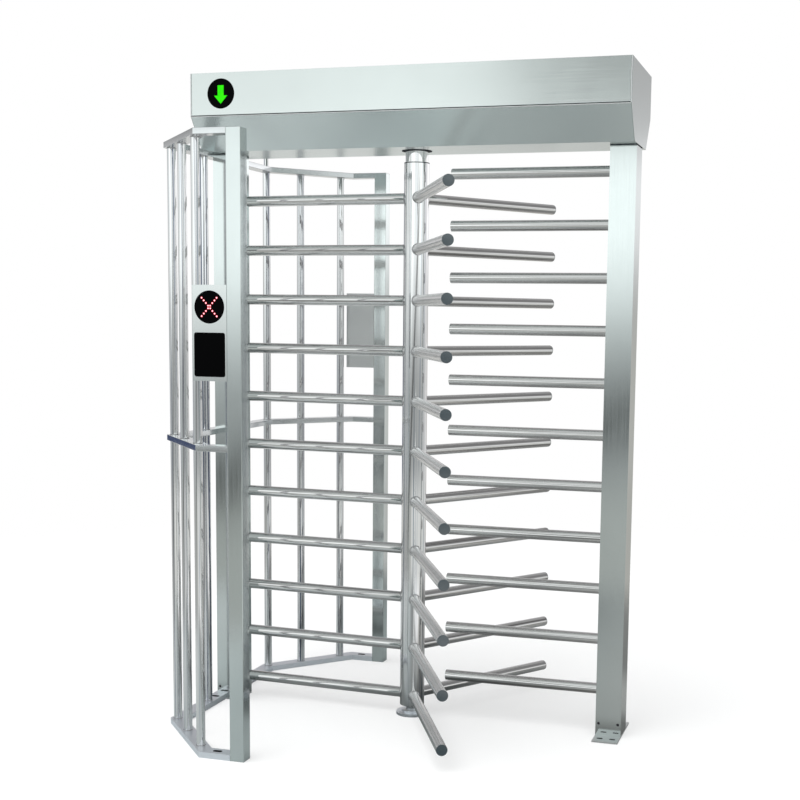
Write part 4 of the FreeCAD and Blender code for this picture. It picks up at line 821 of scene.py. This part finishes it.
lamp_red = lamp("lamp_red", (0.95, 0.30, 0.34), (1.0, 0.40, 0.44), strength=2.8,
                base=(0.6, 0.4, 0.4), scale=180.0)
lamp_rim = lamp("lamp_rim", (0.16, 0.002, 0.010), (0.26, 0.005, 0.018), strength=0.9,
                base=(0.3, 0.3, 0.3), scale=260.0)
lamp_across = 0.0075
lamp_down = 0.0083
lamp_radius = 0.0024
lamp_bulge = 0.42
glow_radius = 0.0043
glow_depth = 0.0004
panel_low, panel_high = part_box("reader_panels")
lens_low, lens_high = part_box("stop_lenses")
sign = Vector(((panel_low.x + panel_high.x) / 2, lens_high.y, (lens_low.z + lens_high.z) / 2))
lamps = bmesh.new()
lamp_rims = bmesh.new()
for side in (-1, 1):
    for slope in (-1, 1):
        for index in range(-4, 4):
            step = index + 0.5
            place = Matrix.Translation((sign.x + step * lamp_across, side * sign.y,
                                        sign.z + step * slope * lamp_down))
            made = bmesh.ops.create_uvsphere(lamps, u_segments=14, v_segments=8,
                                             radius=lamp_radius)["verts"]
            bmesh.ops.transform(lamps, verts=made,
                                matrix=place @ Matrix.Diagonal((1, lamp_bulge, 1, 1)))
            made = bmesh.ops.create_cone(lamp_rims, cap_ends=True, segments=20,
                                         radius1=glow_radius, radius2=glow_radius,
                                         depth=glow_depth)["verts"]
            bmesh.ops.transform(lamp_rims, verts=made,
                                matrix=place @ Matrix.Rotation(math.pi / 2, 4, "X"))
show("stop_sign_lamps", lamps, lamp_red, "frame", "led_red", "stop_leds")
show("stop_sign_lamp_rims", lamp_rims, lamp_rim, "frame", "led_red")


# Arrow indicators: a round smoked lens in each fascia with a lit green arrow on it.
# The arrow lights as one shape and stands a little proud of the lens.
lamp_green = lamp("lamp_green", (0.022, 0.80, 0.001), (0.034, 0.90, 0.001), strength=0.98,
                  base=(0.1, 0.1, 0.1), scale=60.0)
show("arrow_sign_lenses", eased("arrow_lenses", width=0.0004), smoked, "frame", "lens_black",
     "arrow_lenses")
show("arrow_sign_lights", eased("arrow_lights", width=0.0004), lamp_green, "frame", "led_green",
     "arrow_lights")


# The drive in the header: machined and plated steel on two rails, a casting for the bearing,
# black moulded cases and a green board. The casing hides it all but the collar of the shaft. The
# pin and bronze bush are hidden in the column's foot, and the card readers in their boxes.
plate_zinc = finish("plate_zinc", (0.52, 0.54, 0.55), roughness=0.40, stretch=(40, 40, 40),
                    grain=0.08)
clad(plate_zinc, "header_rails", "drive_plate", "bearing_housing_bolts", "control_box",
     "control_box_lid")
clad(column_steel, "rotor_shaft")
cut_steel = finish("cut_steel", (0.50, 0.51, 0.52), roughness=0.24, stretch=(400, 400, 400),
                   grain=0.06)
clad(cut_steel, "ratchet_wheel", "drive_gear", "bearing_inner_ring", "bearing_outer_ring",
     "pivot_pin", "pawl_front", "pawl_rear", "pawl_posts", "pawl_springs", "plunger_front",
     "plunger_rear", "damper_pinion")
painted_casting = finish("painted_casting", (0.10, 0.12, 0.14), roughness=0.55,
                         stretch=(220, 220, 220), grain=0.08, depth=0.0004, metallic=0.0)
clad(painted_casting, "bearing_housing")
bronze = finish("bronze", (0.55, 0.36, 0.14), roughness=0.32, stretch=(300, 300, 300), grain=0.06)
clad(bronze, "lower_bush")
black_case = finish("black_case", (0.02, 0.02, 0.022), roughness=0.48, stretch=(500, 500, 500),
                    grain=0.08, metallic=0.0)
clad(black_case, "solenoid_bodies", "damper_body", "wheel_sensor", "card_readers")
board = finish("board", (0.02, 0.16, 0.07), roughness=0.45, stretch=(150, 150, 150), grain=0.08,
               metallic=0.0)
clad(board, "control_board")
